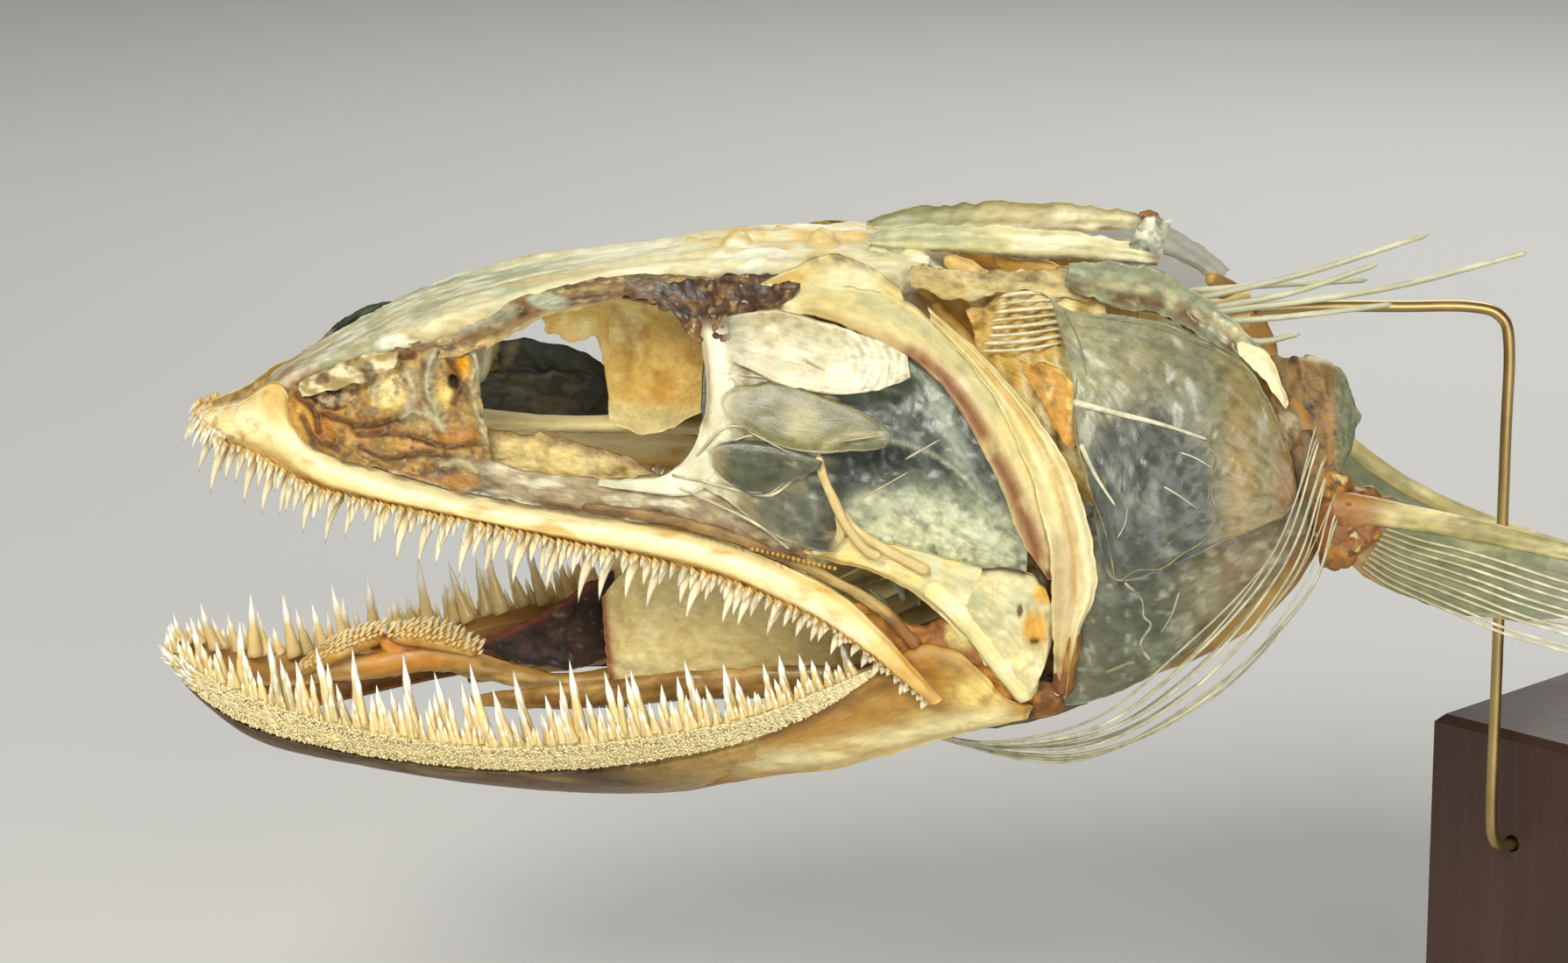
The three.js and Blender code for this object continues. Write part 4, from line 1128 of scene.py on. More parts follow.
def granules():
    """Buds of teeth that pave the outer face of the lower jaw under its teeth."""
    draw = np.random.default_rng(71)
    n = BUD_COUNT
    u, v = draw.uniform(0, 1, n), draw.uniform(.05, .98, n)
    at = curve(BAND_EDGE, u) * (1 - v[:, None]) + curve(LOWER_BITE, u) * v[:, None]
    root = np.column_stack([at[:, 0], -(cheek(at[:, 0], at[:, 1]) + .32), at[:, 1]])
    lean = np.column_stack([draw.uniform(-.3, .1, n), -1.0 - draw.uniform(0, .4, n),
                            draw.uniform(.0, .4, n) + .5 * v])
    size = draw.uniform(.06, .11, n) * (1 + .5 * v)
    return teeth(root, lean, size * .9, size, 0xEAD28E, 0xF4E4AC, bend=0, sides=5, rings=2)


jaw_pair("tooth_buds", granules(), "ivory_bone")

articular_tint = painter(
    0xAD853E,
    (0xC9A962, .8, cloud((.2, .6, .6), -.05, .45, 65)),
    (0x6A4A20, .6, cloud((.15, .6, .6), .15, .5, 66)),
    (0xE2DAB4, .9, times(near_line([[50, -20.8], [58, -18.8], [66, -16], [71, -14.5]], 1.2),
        cloud((.15, .7, .7), -.7, .1, 68))),
    (0x9C5F1A, .9, spot(63.6, -10.6, 2.4, 1.6)),
    (0x7A5220, .8, near_line([[52, -17.6], [58, -14.4], [62, -12.2]], .7)),
    (0xE0CC84, .9, times(disc(69.6, -12.6, 2.4, 1.5, .5), cloud(.9, -.6, .1, 69))),
    (0x7A5E30, .7, ramp(0, 53, 47)),
    (0xDCCB98, .7, near_line([[57, -20.6], [64, -18.2], [70, -15.9], [73.6, -14.7]], .4)))
jaw_pair("articular", plate(
    [[49, -18.8], [55, -14.9], [61.4, -10.8], [64.6, -8.6], [67.6, -8.9], [70, -11],
     [71.8, -13.1], [74, -13.6]],
    [[47, -23.4], [52.4, -21.9], [57.4, -20.9], [62, -19.2], [66, -17.5], [69, -16.4],
     [71.6, -15.5], [73.6, -14.9]], articular_tint, out=-.05, thick=1.4, step=.3, rag=.15,
    bumps=.25, seed=8), "amber_bone", "articular")

maxilla_tint = painter(
    0x74572F,
    (0xA98852, .7, cloud((.3, 1.2, 1.2), -.1, .4, 67)),
    (0xC4AA70, .8, times(ramp(0, 54, 57), ramp(0, 63, 61))),
    (0x9A672A, .8, ramp(0, 61.5, 64)))
pair("maxilla", bar([
    [37, -16.1, 1.9, .35, .3], [45, -17.8, 1.1, .45, .3], [53, -19.3, -1.3, .45, .3],
    [60.6, -20.5, -5, .5, .35], [64.6, -20.8, -8.8, .6, .4]],
    maxilla_tint, bumps=.4), "dried_tissue", "maxilla")

# ------------------------------------------------------------------ palate and cheek

palatine_left_tint = painter(
    0xDAC488,
    (0x8D7440, .8, cloud((.12, 1.2, 1.2), 0, .45, 72)),
    (0xF3E9C8, .8, cloud((.15, .9, .9), .05, .5, 73)),
    (0x7A5524, .8, near_line([[28, 7], [34, 6.7], [39, 5.8], [44, 4]], .4)))
# The far palatine is painted dark as painted shade on the far side, with a lighter front end.
palatine_right_shaded_tint = painter(
    0x3E3C30,
    (0x6F6C58, .7, cloud((.3, 1, 1), .05, .5, 72)),
    (0xA89A72, .8, ramp(0, 27, 20)), opacity=.95)


def palatine(tints):
    """The inner bone along the upper jaw."""
    return plate(
        [[15, 6.9], [20, 6.6], [28, 7.2], [34, 6.9], [39, 6], [44, 4.2], [51, 1.4]],
        [[15, 5.6], [20, 3.6], [28, 2.6], [34, 2], [39, 1.6], [44, 1], [51, -.8]],
        tints, out=-2.2, thick=.6, step=.25, rag=.4, bumps=.4, seed=9,
        relief=lambda x, z, u, v: .25 * lumps(x * .3, z, 1.6, 34))


both("palatine", palatine(palatine_left_tint), palatine(palatine_right_shaded_tint).mirrored(),
     "dried_tissue", "palatine")

pterygoid_tint = painter(
    0xE0CE92,
    (0xF4EFD8, .7, cloud(.5, 0, .5, 74)),
    (0xC9973E, .6, cloud(.6, .15, .5, 75)),
    (0xC3C7AC, .9, times(ramp(0, 61, 67), cloud(.7, -.4, .3, 70))),
    (0xB98A3A, .7, near_line([[53, -1.2], [58, -1.9], [62, -3], [66, -5.6]], .3)))
pair("pterygoid", plate(
    [[53.6, .2], [58.2, .7], [61.2, 0], [65.2, -.7], [69.6, -1.9]],
    [[52.6, -.9], [57.4, -1.8], [61.6, -2.8], [65, -4.8], [68.6, -8.2]],
    pterygoid_tint,
    out=-.3, thick=1.2, step=.22, seed=10, bumps=.3), "pale_bone", "pterygoid")

# The pale upper edge of the skin in the cheek's rear window.
FRINGE = [[58.6, 1.4], [60, 2.8], [63.8, 3.1], [68.4, 1.6], [71.6, -1.4]]

metapterygoid_tint = painter(
    0x525B57,
    (0x83908B, .8, cloud(.35, .0, .5, 76)),
    (0x363C3A, .85, disc(63.6, 5.3, 6, 2.1, .35)),
    (0x8D988A, .9, disc(65.4, -1.4, 9.4, 5.6, .4)),
    (0xC9CFB6, .95, times(disc(65.4, -1.6, 9.2, 5.2, .3), cloud(1.9, -.55, .15, 77))),
    (0xE6E6CC, .8, times(disc(64, -1.8, 7, 3.4, .5), cloud(2.3, -.1, .3, 75))),
    # Painted highlight: a pale upright streak of sheen across the glassy plate.
    (0x9BA59E, .8, near_line([[65.2, 14], [66.6, 10], [68, 6.4]], .9)),
    (0x8F9A93, .7, near_line([[61, 13.2], [64.4, 13.4]], .9)),
    (0xA9B0A0, .85, near_line([[57.6, 7.4], [61.8, 7.9], [66.4, 6.5], [70, 3.5]], .2)),
    (0xD3D8C8, .9, times(near_line(FRINGE, .75), cloud((.5, .5, 1.8), -.35, .15, 77))),
    (0xC2C9BA, .9, near_line(FRINGE, .22)),
    (0x9AA5A0, .7, near_line([[59.2, 12.2], [63.8, 11.1], [67.8, 7.2], [70, 3.6]], .2)),
    opacity=.93)
pair("metapterygoid", plate(
    [[47, 13.4], [52, 16], [58, 16.4], [63, 15.2], [67, 12.4], [70, 8.6], [73.4, 3.4]],
    [[46.4, 3], [51, .6], [56, -.4], [61, -1.2], [65, -1.8], [69, -2.4], [73.4, -2.8]],
    metapterygoid_tint,
    out=-2.2, thick=.35, step=.2, bumps=.25, seed=11), "glassy_bone", "metapterygoid")

needle_tint = painter(0xC6C2A8, (0x9E9778, .6, cloud(1, 0, .4, 53)))


def needle(start, end, radius, lift):
    """A loose thin bone on the cheek."""
    path = [on_cheek(*start, lift), on_cheek(*end, lift)]
    return rod(path, radius, needle_tint, sides=6, thin=.5)


needles = [needle(*row) for row in (
    ([63.4, 6.6], [66.3, 8.3], .11, -1.2), ([60, 3.4], [63.8, 5.7], .1, -1.2),
    ([55.2, 14.6], [57, 13.8], .09, 1.7), ([50.6, 9], [54, 7.4], .1, 1.6),
    ([58, 8.4], [61.6, 9.1], .1, 1.6))]
pair("cheek_needles", needles, "glassy_bone")

sphenotic_tint = painter(
    0xD9C88E,
    (0xEDE6C8, .9, disc(59, 19.6, 2.6, 1.2, .5)),
    (GOLD, .6, cloud(.6, .1, .5, 54)),
    (BROWN, .8,
     times(near_line([[56, 21.1], [60, 20.9], [63, 19.6]], .35), cloud(1, -.3, .2, 55))))
pair("sphenotic", plate(
    [[51.6, 19.3], [54.6, 20.5], [57.2, 21.3], [60, 20.9], [63, 19.4]],
    [[51.6, 18.4], [54.6, 18.5], [57.2, 18.6], [60, 18.5], [63.6, 17.8]],
    sphenotic_tint,
    out=-.4, thick=.8, step=.25, bumps=.4, seed=39), "pale_bone")

quadrate_arm_tint = painter(
    0xE6D9A6,
    (0xF6F1DC, .7, cloud(.6, -.1, .4, 35)),
    (0xC08F3C, .5, cloud(.7, .15, .5, 39)))
quadrate_arm = ridge(
    [[65, -3.2], [67.2, -5], [69.4, -7.4], [71.2, -9.8], [72.8, -11.8], [73.8, -13]], .95,
    quadrate_arm_tint, lift=-.55, flat=.6, bumps=.2)

quadrate_fan_tint = painter(
    0xD6CDA6,
    (0xB4B79C, .8, times(cloud(.45, -.1, .4, 79), ramp(2, -9, -5))),
    (WHITE, .7, cloud(.5, .05, .5, 78)),
    (0xE9DFAE, .8, spot(72.6, -10.6, 1.4, 2.6)),
    (0xD09A2C, .95, disc(73.9, -6.6, 1.0, 1.5, .4)),
    (0xD8A83A, .9, disc(74.6, -3.6, .8, .9, .4)),
    (0x4E3418, .95, disc(73.9, -7.6, .4, .3)),
    (0x4E3418, .9, disc(72.7, -5, .25, .6)),
    (0x33302A, .95, near_line([[68.8, -2.2], [71, -1.7], [73, -2]], .3)),
    (0x4A3A28, .9, disc(74.7, -2.6, .6, .4)))
quadrate_fan = plate(
    [[68.5, -2.2], [70.6, -1.8], [72.8, -1.9], [74.6, -3], [75.3, -5.2], [75.3, -8],
     [74.5, -11.2]],
    [[67, -6.2], [68.4, -7.6], [69.8, -9.7], [70.9, -11.5], [71.9, -12.8], [73, -13.4],
     [74, -13]], quadrate_fan_tint, out=.1, thick=1.6, step=.2, bumps=.35, seed=12,
    relief=lambda x, z, u, v: -.9 * smooth(.22, 0, u) + .2 * lumps(x, z, 1.4, 36)
    - .5 * smooth(.4, 0, v))
pair("quadrate", [quadrate_arm, quadrate_fan], "pale_bone", "quadrate")

joint_skin_low_tint = painter(
    0x5F4B2A,
    (0x9C6C2A, .8, cloud(.7, -.1, .4, 39)),
    (0xB79A62, .7, cloud(.9, .1, .5, 42)),
    (0x30251A, .7, cloud(.8, .1, .4, 44)))
joint_skin_low = plate(
    [[67, 2], [70, 4], [73, 5], [76, 2.6], [78.6, -2], [79.4, -6]],
    [[67.6, -5], [69.6, -8], [72, -11], [74.4, -12.4], [76.4, -13], [79.4, -12.8]],
    joint_skin_low_tint,
    out=-3.4, thick=.4, step=.25, rag=.4, bumps=.5, seed=48, stretch=.6)

joint_skin_high_tint = painter(
    0xD2AE62,
    (0xF2E4B4, .9, cloud((.6, .6, .3), -.1, .35, 45)),
    (0x7A5622, .8, cloud((.7, .7, .3), .12, .5, 46)))
joint_skin_high = plate(
    [[68.6, 17.4], [72, 18.6], [76, 19], [80, 18.6]],
    [[70, 12.4], [73, 9], [76, 5], [80, 2]],
    joint_skin_high_tint,
    out=-3, thick=.4, step=.25, rag=.4, bumps=.5, seed=49, stretch=.4,
    relief=lambda x, z, u, v: .35 * np.sin(2.6 * x + .8 * z))
pair("joint_skin", [joint_skin_low, joint_skin_high], "dried_tissue")

neck_rod_tint = painter(0xDCD9C6, (0xB3A26C, .6, cloud((.5, 1, 1), 0, .4, 49)))


def neck_rod(i):
    """One of the parallel rods under the skull's rear corner."""
    path = [on_cheek(69.6 + .25 * i, 14.8 + .55 * i, -2.1), on_cheek(73, 15 + .56 * i, -2.2),
            on_cheek(76.4, 15.5 + .5 * i, -2.6)]
    return rod(path, .13 + .05 * (i % 2), neck_rod_tint, sides=7)


pair("neck_rods", [neck_rod(i) for i in range(8)], "glassy_bone")

jaw_skin_corner_tint = painter(
    0x7A4E20,
    (0xA8793A, .8, cloud(.9, 0, .4, 56)),
    (0x4A2C12, .7, cloud(.9, .1, .4, 57)))
jaw_skin_corner = plate(
    [[73.2, -12], [75, -11.6], [76.7, -12.2]], [[73.2, -14.9], [75, -14.9], [76.8, -13.9]],
    jaw_skin_corner_tint,
    out=-.9, thick=.5, step=.2, rag=.3, bumps=.4, seed=57, stretch=.6)

jaw_skin_web_tint = painter(
    0x9C621C,
    (0xC08A3A, .8, cloud(.6, 0, .4, 56)),
    (0x6A3F14, .7, cloud(.9, .1, .5, 57)),
    (0xD0BA7A, .9, disc(68, -7.6, 1.3, 1.5)),
    (0xC9B27A, .8, disc(68, -11.6, 1.4, 1.2)))
jaw_skin_web = plate(
    [[57, -6.4], [60.4, -5], [62.6, -6.6], [65, -7], [66.8, -6.2], [69.2, -8.2], [72, -10.6],
     [75, -12.6]],
    [[59, -9.4], [61.6, -10.6], [63.6, -12], [65.6, -13], [67.4, -13.4], [69.6, -13.6],
     [72.4, -14.4], [74.6, -14.9]], jaw_skin_web_tint, out=-.8, thick=.5, step=.25, rag=.35,
    bumps=.5, seed=40, stretch=.6)
pair("jaw_skin", [jaw_skin_corner, jaw_skin_web], "dried_tissue")

joint_knob_tint = painter(
    0x8A5A26,
    (0xB98A4A, .7, cloud(.8, 0, .4, 58)),
    (0x4A2C12, .7, cloud((1, 1, .3), .1, .4, 59)))
pair("joint_knob", bar([
    on_cheek(77.4, -6.4, 0) + [.5, .5], on_cheek(76.6, -9.4, .1) + [.75, .6],
    on_cheek(76.3, -12.4, .2) + [.9, .7]],
    joint_knob_tint, bumps=.3),
    "amber_bone")

# ------------------------------------------------------------------ round the eye

postorbital_tint = painter(
    0xCFCDBB,
    (0xEDEBE0, .9, cloud((.6, .6, .15), -.1, .4, 81)),
    (0x8C7656, .8, near_line([[46.3, 17], [47, 14.6], [47.3, 12], [47.1, 9.3]], .45)),
    (BROWN, .9, times(ramp(2, 15.4, 17), cloud(.6, -.5, .2, 82))))
pair("postorbital", plate(
    [[51.4, 17.4], [50.8, 15], [50.4, 12], [50, 10], [49.4, 8], [48.4, 5.4], [46, 3.4], [42, 3.4],
     [38.4, 3.7]],
    [[46, 17.2], [46.8, 15], [47.2, 12], [47, 9.5], [46.4, 7.6], [45.4, 6], [43.6, 4.8],
     [41, 4.4], [38.4, 4.2]], postorbital_tint, out=.5, thick=.7, step=.3, bumps=.25, seed=13),
    "ivory_bone", "postorbital")

infraorbital_upper_tint = painter(
    0xBDB18E,
    (0xD6CFB2, .8, times(ramp(0, 52, 55), cloud((.2, .5, .5), -.4, .3, 81))),
    (0xF6F5EC, .95, times(ramp(0, 56.4, 60),
        lambda p: .62 + .38 * np.sin(9 * np.hypot(p[:, 0] - 55.5, (p[:, 2] - 14.2) * 1.6)))),
    (0xE4E0CC, .7, cloud((.25, .8, .8), 0, .4, 83)),
    (0x8D7A56, .5, cloud((.3, .9, .9), .15, .5, 82)),
    (0xD3D0BE, .9, ramp(0, 52.6, 49.6)), opacity=lambda p: .95 * smooth(48.2, 51, p[:, 0]))
pair("infraorbital_upper", plate(
    [[48, 17], [50.4, 17.6], [53, 17.8], [57, 17.1], [60.4, 16.2], [62, 15.7], [63.6, 14.9]],
    [[48, 14.4], [50.4, 13.7], [53, 12.6], [57, 11.9], [59.8, 12.1], [62, 12.6], [63.8, 13.3]],
    infraorbital_upper_tint, out=1.2,
    relief=lambda x, z, u, v: .06 * np.sin(
        9 * np.hypot(x - 55.5, (z - 14.2) * 1.6)) * smooth(55, 60, x), step=.25, seed=14),
    "glassy_bone", "infraorbital_upper")

infraorbital_middle_tint = painter(
    0x7C7956,
    (0x9D9A6E, .5, cloud((.3, .6, .6), 0, .45, 84)),
    (0xB3AE84, .8, disc(55.2, 9.6, 1.6, 1.6, .5)),
    (0x6B6E58, .6, ramp(0, 58, 61)),
    (0xC4BC92, .7, near_line([[56.6, 7.9], [59, 8.9], [61.4, 9]], .25)),
    (0xC2BC9C, .8, ramp(0, 51.4, 49)), opacity=lambda p: .82 * smooth(48.2, 51, p[:, 0]))
pair("infraorbital_middle", plate(
    [[48, 11.6], [50.4, 12.3], [53, 12.6], [56.6, 11.8], [59.6, 10.9], [61.6, 9.8], [62.4, 9]],
    [[48, 10.2], [50.6, 9], [53.6, 7.6], [56.6, 7.4], [59.5, 7.6], [61.4, 7.9], [62.2, 8.4]],
    infraorbital_middle_tint,
    out=1.2, step=.3, seed=15), "glassy_bone", "infraorbital_middle")

infraorbital_lower_tint = painter(
    0x565A49,
    (0xA7AA98, .7, cloud(1.1, .25, .55, 85)),
    (0xA08E68, .8, ramp(0, 49.4, 48)), opacity=lambda p: .86 * smooth(47.2, 49, p[:, 0]))
pair("infraorbital_lower", plate(
    [[47.4, 7.4], [49, 8], [51.2, 8.1], [54, 7.6], [56.6, 6.7]],
    [[47.4, 6.4], [49, 4.8], [51.2, 3.9], [53.6, 4.8], [56.4, 6.1]],
    infraorbital_lower_tint,
    out=1.2, step=.3, seed=16), "glassy_bone", "infraorbital_lower")

cheek_skin_tint = painter(
    0x8B8062,
    (0xD9D6C2, .95, ramp(0, 50.6, 48.6)),
    (0x4C524C, .9, times(ramp(0, 54, 56), ramp(2, 12, 10.4))),
    (0x59584A, .8, disc(52, 10, 1.9, 1.4)),
    (0xA39A80, .7, cloud((.3, .9, .9), .05, .5, 86)),
    (0x5B635C, .8, disc(54, 2.4, 2.6, 2)),
    (0xA9AC9E, .7, times(disc(55, 2, 2.8, 2), cloud((.8, .8, .4), .0, .4, 87))),
    (0xDCD9C8, .7, near_line([[48, 12.4], [49.4, 10], [52, 8.8], [55, 8]], .35)),
    (0xC9BE9A, .7, near_line([[47.4, 7.6], [50, 9.6], [53.6, 8.2]], .2)),
    opacity=lambda p: .93 * smooth(58.4, 55.6, p[:, 0] + .8 * rough_noise(p, .6, 17)))
pair("cheek_skin", plate(
    [[48.4, 16.4], [50, 17.4], [53, 17.6], [56, 17.2], [59, 16.4]],
    [[47, 4.2], [49, 3], [52, .8], [55, -.4], [58.8, -.9]],
    cheek_skin_tint,
    out=.55, thick=.35, step=.25, rag=.2, bumps=.3, seed=38,
    relief=lambda x, z, u, v: .1 * lumps(x * .6, z, 1.6, 32)), "glassy_bone")

fold_tint = painter(
    0xC4BEA6, (0x8F8163, .7, cloud(.8, 0, .4, 88)), (WHITE, .5, cloud(.7, .1, .4, 89)))
# Folds of the cheek's skin: a line and its radius.
CHEEK_FOLDS = (
    ([[50, 12.2], [48.6, 11], [49.6, 9.4], [53.6, 8], [56.6, 7]], .2),
    ([[49.8, 13], [52.6, 12.8], [56.8, 11.9], [59, 12.3]], .16),
    ([[46.4, 6.6], [49, 9], [52, 8.6]], .16),
    ([[44.4, 5], [47, 4.6], [50, 4], [52.6, 3.8], [54.4, 5.2]], .2),
    ([[45, 4], [48.6, 2.6], [51.6, 1.2], [54, -.6]], .15),
    ([[48.2, 7.2], [51, 8.4], [54.6, 7.7], [56.8, 6.9]], .14),
    ([[47.8, 6.8], [48.4, 5], [51.6, 3.7], [53.8, 4.9]], .16))
folds = [ridge(line, radius * .75, fold_tint, lift=.6, seed=i, bumps=.6, flat=.8)
         for i, (line, radius) in enumerate(CHEEK_FOLDS)]
pair("cheek_folds", folds, "glassy_bone")

prop_tint = painter(0xC9B583, (0xE2D7B0, .7, cloud(.7, 0, .4, 90)))
# The forked strut on the cheek: a line, its radius and its lift.
CHEEK_PROP = (
    ([[56.3, 7], [56.7, 5.6], [57.6, 3.6], [58.6, 1.6], [60, -.2], [61.4, -1]], .42, .5),
    ([[58.2, 2.4], [59.6, .8], [62, -.5], [65.4, -2.2]], .5, .02),
    ([[58, 2.4], [58.2, .8], [57.4, -.4], [55.8, -.9]], .42, .05))
props = [ridge(line, radius, prop_tint, lift=lift, flat=.6) for line, radius, lift in CHEEK_PROP]
pair("cheek_prop", props, "pale_bone")

# ------------------------------------------------------------------ gill cover

hyomandibula_tint = painter(
    0xD6CA98,
    (0xEFE8CA, .8, cloud((.3, .7, .7), 0, .5, 91)),
    (0xB4924E, .8, near_line([[56, 17.4], [61, 15.8], [64.6, 14.2]], .8)),
    (0xB9BCA0, .7, near_line([[60, 18.6], [66, 16], [70.6, 11]], .5)),
    (0x7C3E1C, .92, times(near_line(
        [[63.9, 14.6], [66.1, 13.4], [68.6, 10.6], [70.6, 7.4], [72.6, 3.6], [73.9, .2],
         [75, -2.4]], .95), cloud((.9, .9, .5), -.9, .1, 92))))
pair("hyomandibula", plate(
    [[52, 19.4], [58, 19.4], [63, 18.6], [67.2, 15.8], [70.8, 12], [74, 7], [75.4, 1.6],
     [75.7, -2.6]],
    [[52, 17.6], [57.6, 16.9], [62, 15.2], [65.4, 13.4], [68.2, 10.2], [70.8, 5.6], [72.6, 1],
     [74.9, -2.5]], hyomandibula_tint, out=0, thick=1.6, step=.35, bumps=.2, seed=17),
    "amber_bone", "hyomandibula")

preopercle_tint = painter(
    0xD8C994,
    (0xECE4C4, .8, cloud((.4, .7, .2), 0, .5, 93)),
    (0xBBA468, .5, cloud(.35, .2, .6, 94)),
    (0xE6DFC2, .9, near_line([[76.6, 5], [77.9, .6], [78, -3], [77, -6]], .8)),
    (0xBCA98A, .8, disc(76.2, -2, 1.0, 5, .4)),
    (0xB98F45, .6, near_line([[70, 14], [74.4, 8.4], [76.6, 2], [77.2, -4]], .3)),
    (0x8F5E28, .8, times(ramp(2, -7, -10), cloud(.7, -.5, .2, 95))))
pair("preopercle", plate(
    [[65.4, 18.2], [69.4, 15.2], [73.4, 11.2], [76.4, 7], [78.2, 2], [78.8, -3], [77.6, -6.6],
     [76.6, -12.6]],
    [[65.6, 17.3], [68.4, 14.6], [71.2, 11], [73.6, 5.6], [74.9, .6], [75.2, -4], [75.4, -8],
     [75.6, -12.2]], preopercle_tint, out=.6, thick=1, step=.25, bumps=.15, seed=18,
    relief=lambda x, z, u, v: .35 * np.exp(-((v - .82) / .14) ** 2)
    - .3 * np.exp(-((v - .6) / .08) ** 2) + .2 * np.exp(-((v - .3) / .2) ** 2)), "pale_bone",
    "preopercle")

hinge_tint = painter(
    0xC9953A,
    (0xE8CF84, .8, cloud(1.2, 0, .4, 60)),
    (0x8A5A20, .8, cloud(1, .1, .5, 61)))
pair("hinge_skin", plate(
    [[72.8, 14.6], [74.4, 14.4], [76, 14], [77.6, 12.6]],
    [[74.4, 11.6], [75.4, 9.8], [76.6, 8.4], [78, 9.6]], hinge_tint, out=.7, thick=.7, step=.18,
    rag=.5, bumps=.5, seed=41, stretch=.7), "dried_tissue")

cover_tint = painter(
    0x79796A,
    (0xA39C7C, .8, times(ramp(2, 11, 14.6), ramp(0, 90, 78))),
    (0xB3B79E, .7, spot(78.4, 13.6, 2, 3.4)),
    (0x8F9A8C, .6, times(ramp(2, 9, 13), cloud(.4, -.2, .4, 62))),
    (0x474D4D, .95, times(disc(82.6, 4.4, 5.8, 6.9, .14), cloud(.25, -1.2, -.3, 96))),
    (0x8E9590, .7, times(spot(82, 4.5, 5, 7), cloud(.9, .08, .5, 97))),
    (0xB9BCB0, .6, times(spot(81, 6, 1.6), cloud(1.2, 0, .3, 63))),
    (0x85794E, .9, times(ramp(0, 87, 90), cloud((.9, .9, .06), -1.0, .2, 98))),
    (0xA98F62, .7, spot(90.4, 7, .9, 4.4)),
    (0x8A5E33, .6, ramp(0, 92, 94.5)), opacity=.94)


def cover(tints):
    """The gill cover's large upper bone."""
    return plate(
        [[75.2, 19.2], [77, 18.3], [80.5, 18.1], [84.5, 17.6], [88.5, 16], [91.2, 14.4],
         [93.8, 9.6], [95, 4.4]],
        [[75.9, 17.4], [76.9, 13.4], [76.9, 10.4], [78.2, 5.4], [79.8, -1.8], [84.5, -.9],
         [89, 1.2], [93.6, 3]],
        tints, out=.9, step=.3, bumps=.3, seed=19)


piece("opercle_left", cover(cover_tint), "glassy_bone", ["opercle_left"])

opercle_right_tint = painter(
    0x9A9580,
    (0xB9B39A, .7, cloud(.4, 0, .5, 96)),
    (0xC9B27A, .7, near_line([[76, 19], [84.5, 17.4], [91, 14.2], [94.8, 6]], .35)),
    opacity=lambda p: .9 - .62 * smooth(83, 86, p[:, 0]) * smooth(4, 9, p[:, 2]))
piece("opercle_right", cover(opercle_right_tint).mirrored(), "glassy_bone", ["opercle_right"])

strut_tint = painter(0xCDCDBB, (0xECEBE0, .7, cloud(.8, 0, .4, 64)))
fibre_tint = painter(0x8E8A66, (0xB5B08C, .7, cloud(1, 0, .4, 65)), opacity=.75)
vein_tint = painter(0xA9AA98, (0x7C7E70, .8, cloud(1.4, 0, .3, 66)))
# Fibres and veins on the gill cover: a line, its radius, colour, bumps and flatness.
COVER_VEINS = (
    ([[77.2, 13.6], [77, 10], [77.9, 6], [79.4, 2], [80.2, -1.6]], .08, fibre_tint, .9, 1),
    ([[88.4, 11.4], [87.8, 9], [88.3, 7.6], [87.9, 5], [88.5, 3], [87.2, 1.2], [85.6, .2],
      [84, -1], [82, -1.2], [80.8, -2]], .07, fibre_tint, .9, 1),
    ([[88.8, 10.4], [87.6, 7.4], [87.6, 4.6], [85.4, 2], [83.4, -.4]], .05, fibre_tint, .9, 1),
    ([[81, -2.2], [82.4, -3.6], [82.6, -5], [83.2, -5.8], [82.4, -7.4], [83.2, -8.8]],
     .12, vein_tint, 1.0, .7),
    ([[85.4, -3], [84.8, -5], [84, -6.4]], .08, vein_tint, .9, .7),
    ([[79.6, -10], [81.4, -9.2], [82, -9]], .2, fibre_tint, .8, .6),
    ([[76.3, 18.4], [77.4, 16.4], [78, 13.8]], .07, fibre_tint, .6, 1),
    ([[78, 18], [82, 17.6], [86, 16.6], [90, 14.8], [92.6, 12]], .07, fibre_tint, .6, 1))
# Needles that lie on the gill cover: a line and its radius.
COVER_NEEDLES = (
    ([[76.8, 11.9], [80.4, 11.1], [84, 10.3], [87.6, 9.2]], .34),
    ([[85.4, 8.2], [86.6, 7.8], [88, 7]], .09), ([[84, 5.6], [85.4, 4.8], [86.8, 3.8]], .1),
    ([[77.4, 8.8], [78.6, 6.4], [80.2, 4]], .26), ([[80.4, 1.4], [81, 2.6], [81.2, 4]], .07),
    ([[86.4, 12.2], [87.6, 10.8]], .07))
cover_lines = [ridge(line, radius * .8, tint, lift=1.0, bumps=bumps, seed=i, flat=flat)
               for i, (line, radius, tint, bumps, flat) in enumerate(COVER_VEINS)]
for i, (line, radius) in enumerate(COVER_NEEDLES):
    needle_path = [on_cheek(x, z, .95) for x, z in line]
    cover_lines.append(rod(needle_path, radius, strut_tint, sides=7, thin=.35, step=.4, seed=i))
pair("cover_lines", cover_lines, "glassy_bone")

subopercle_tint = painter(
    0x66695A,
    (0x98A094, .8, cloud(.5, 0, .5, 99)),
    (0x7D6B47, .8, ramp(0, 84, 91)),
    (0x4B5049, .7, disc(82, -5, 3.4, 3.4, .5)),
    (0xB8BCAE, .5, cloud(1.4, .25, .5, 98)), opacity=.92)
pair("subopercle", plate(
    [[77.4, 2], [80, 1], [84, .8], [89, 2.4], [93, 4.2], [95.8, 4.2]],
    [[76.4, -13.4], [79, -12.9], [83, -10.9], [88, -7.2], [92.4, -3.2], [95.8, 1.6]],
    subopercle_tint,
    out=-.2, step=.3, bumps=.25, seed=20), "glassy_bone", "subopercle")

interopercle_tint = painter(0x6D6447, (0x8F8660, .7, cloud(.6, 0, .5, 100)), opacity=.9)
pair("interopercle", plate(
    [[64, -15.2], [69, -14.4], [73, -13.6], [77, -12.6]],
    [[65, -16.8], [70, -16.6], [75, -15.4], [78.6, -13.9]],
    interopercle_tint, out=-2.1, step=.35, seed=21),
    "glassy_bone", "interopercle")

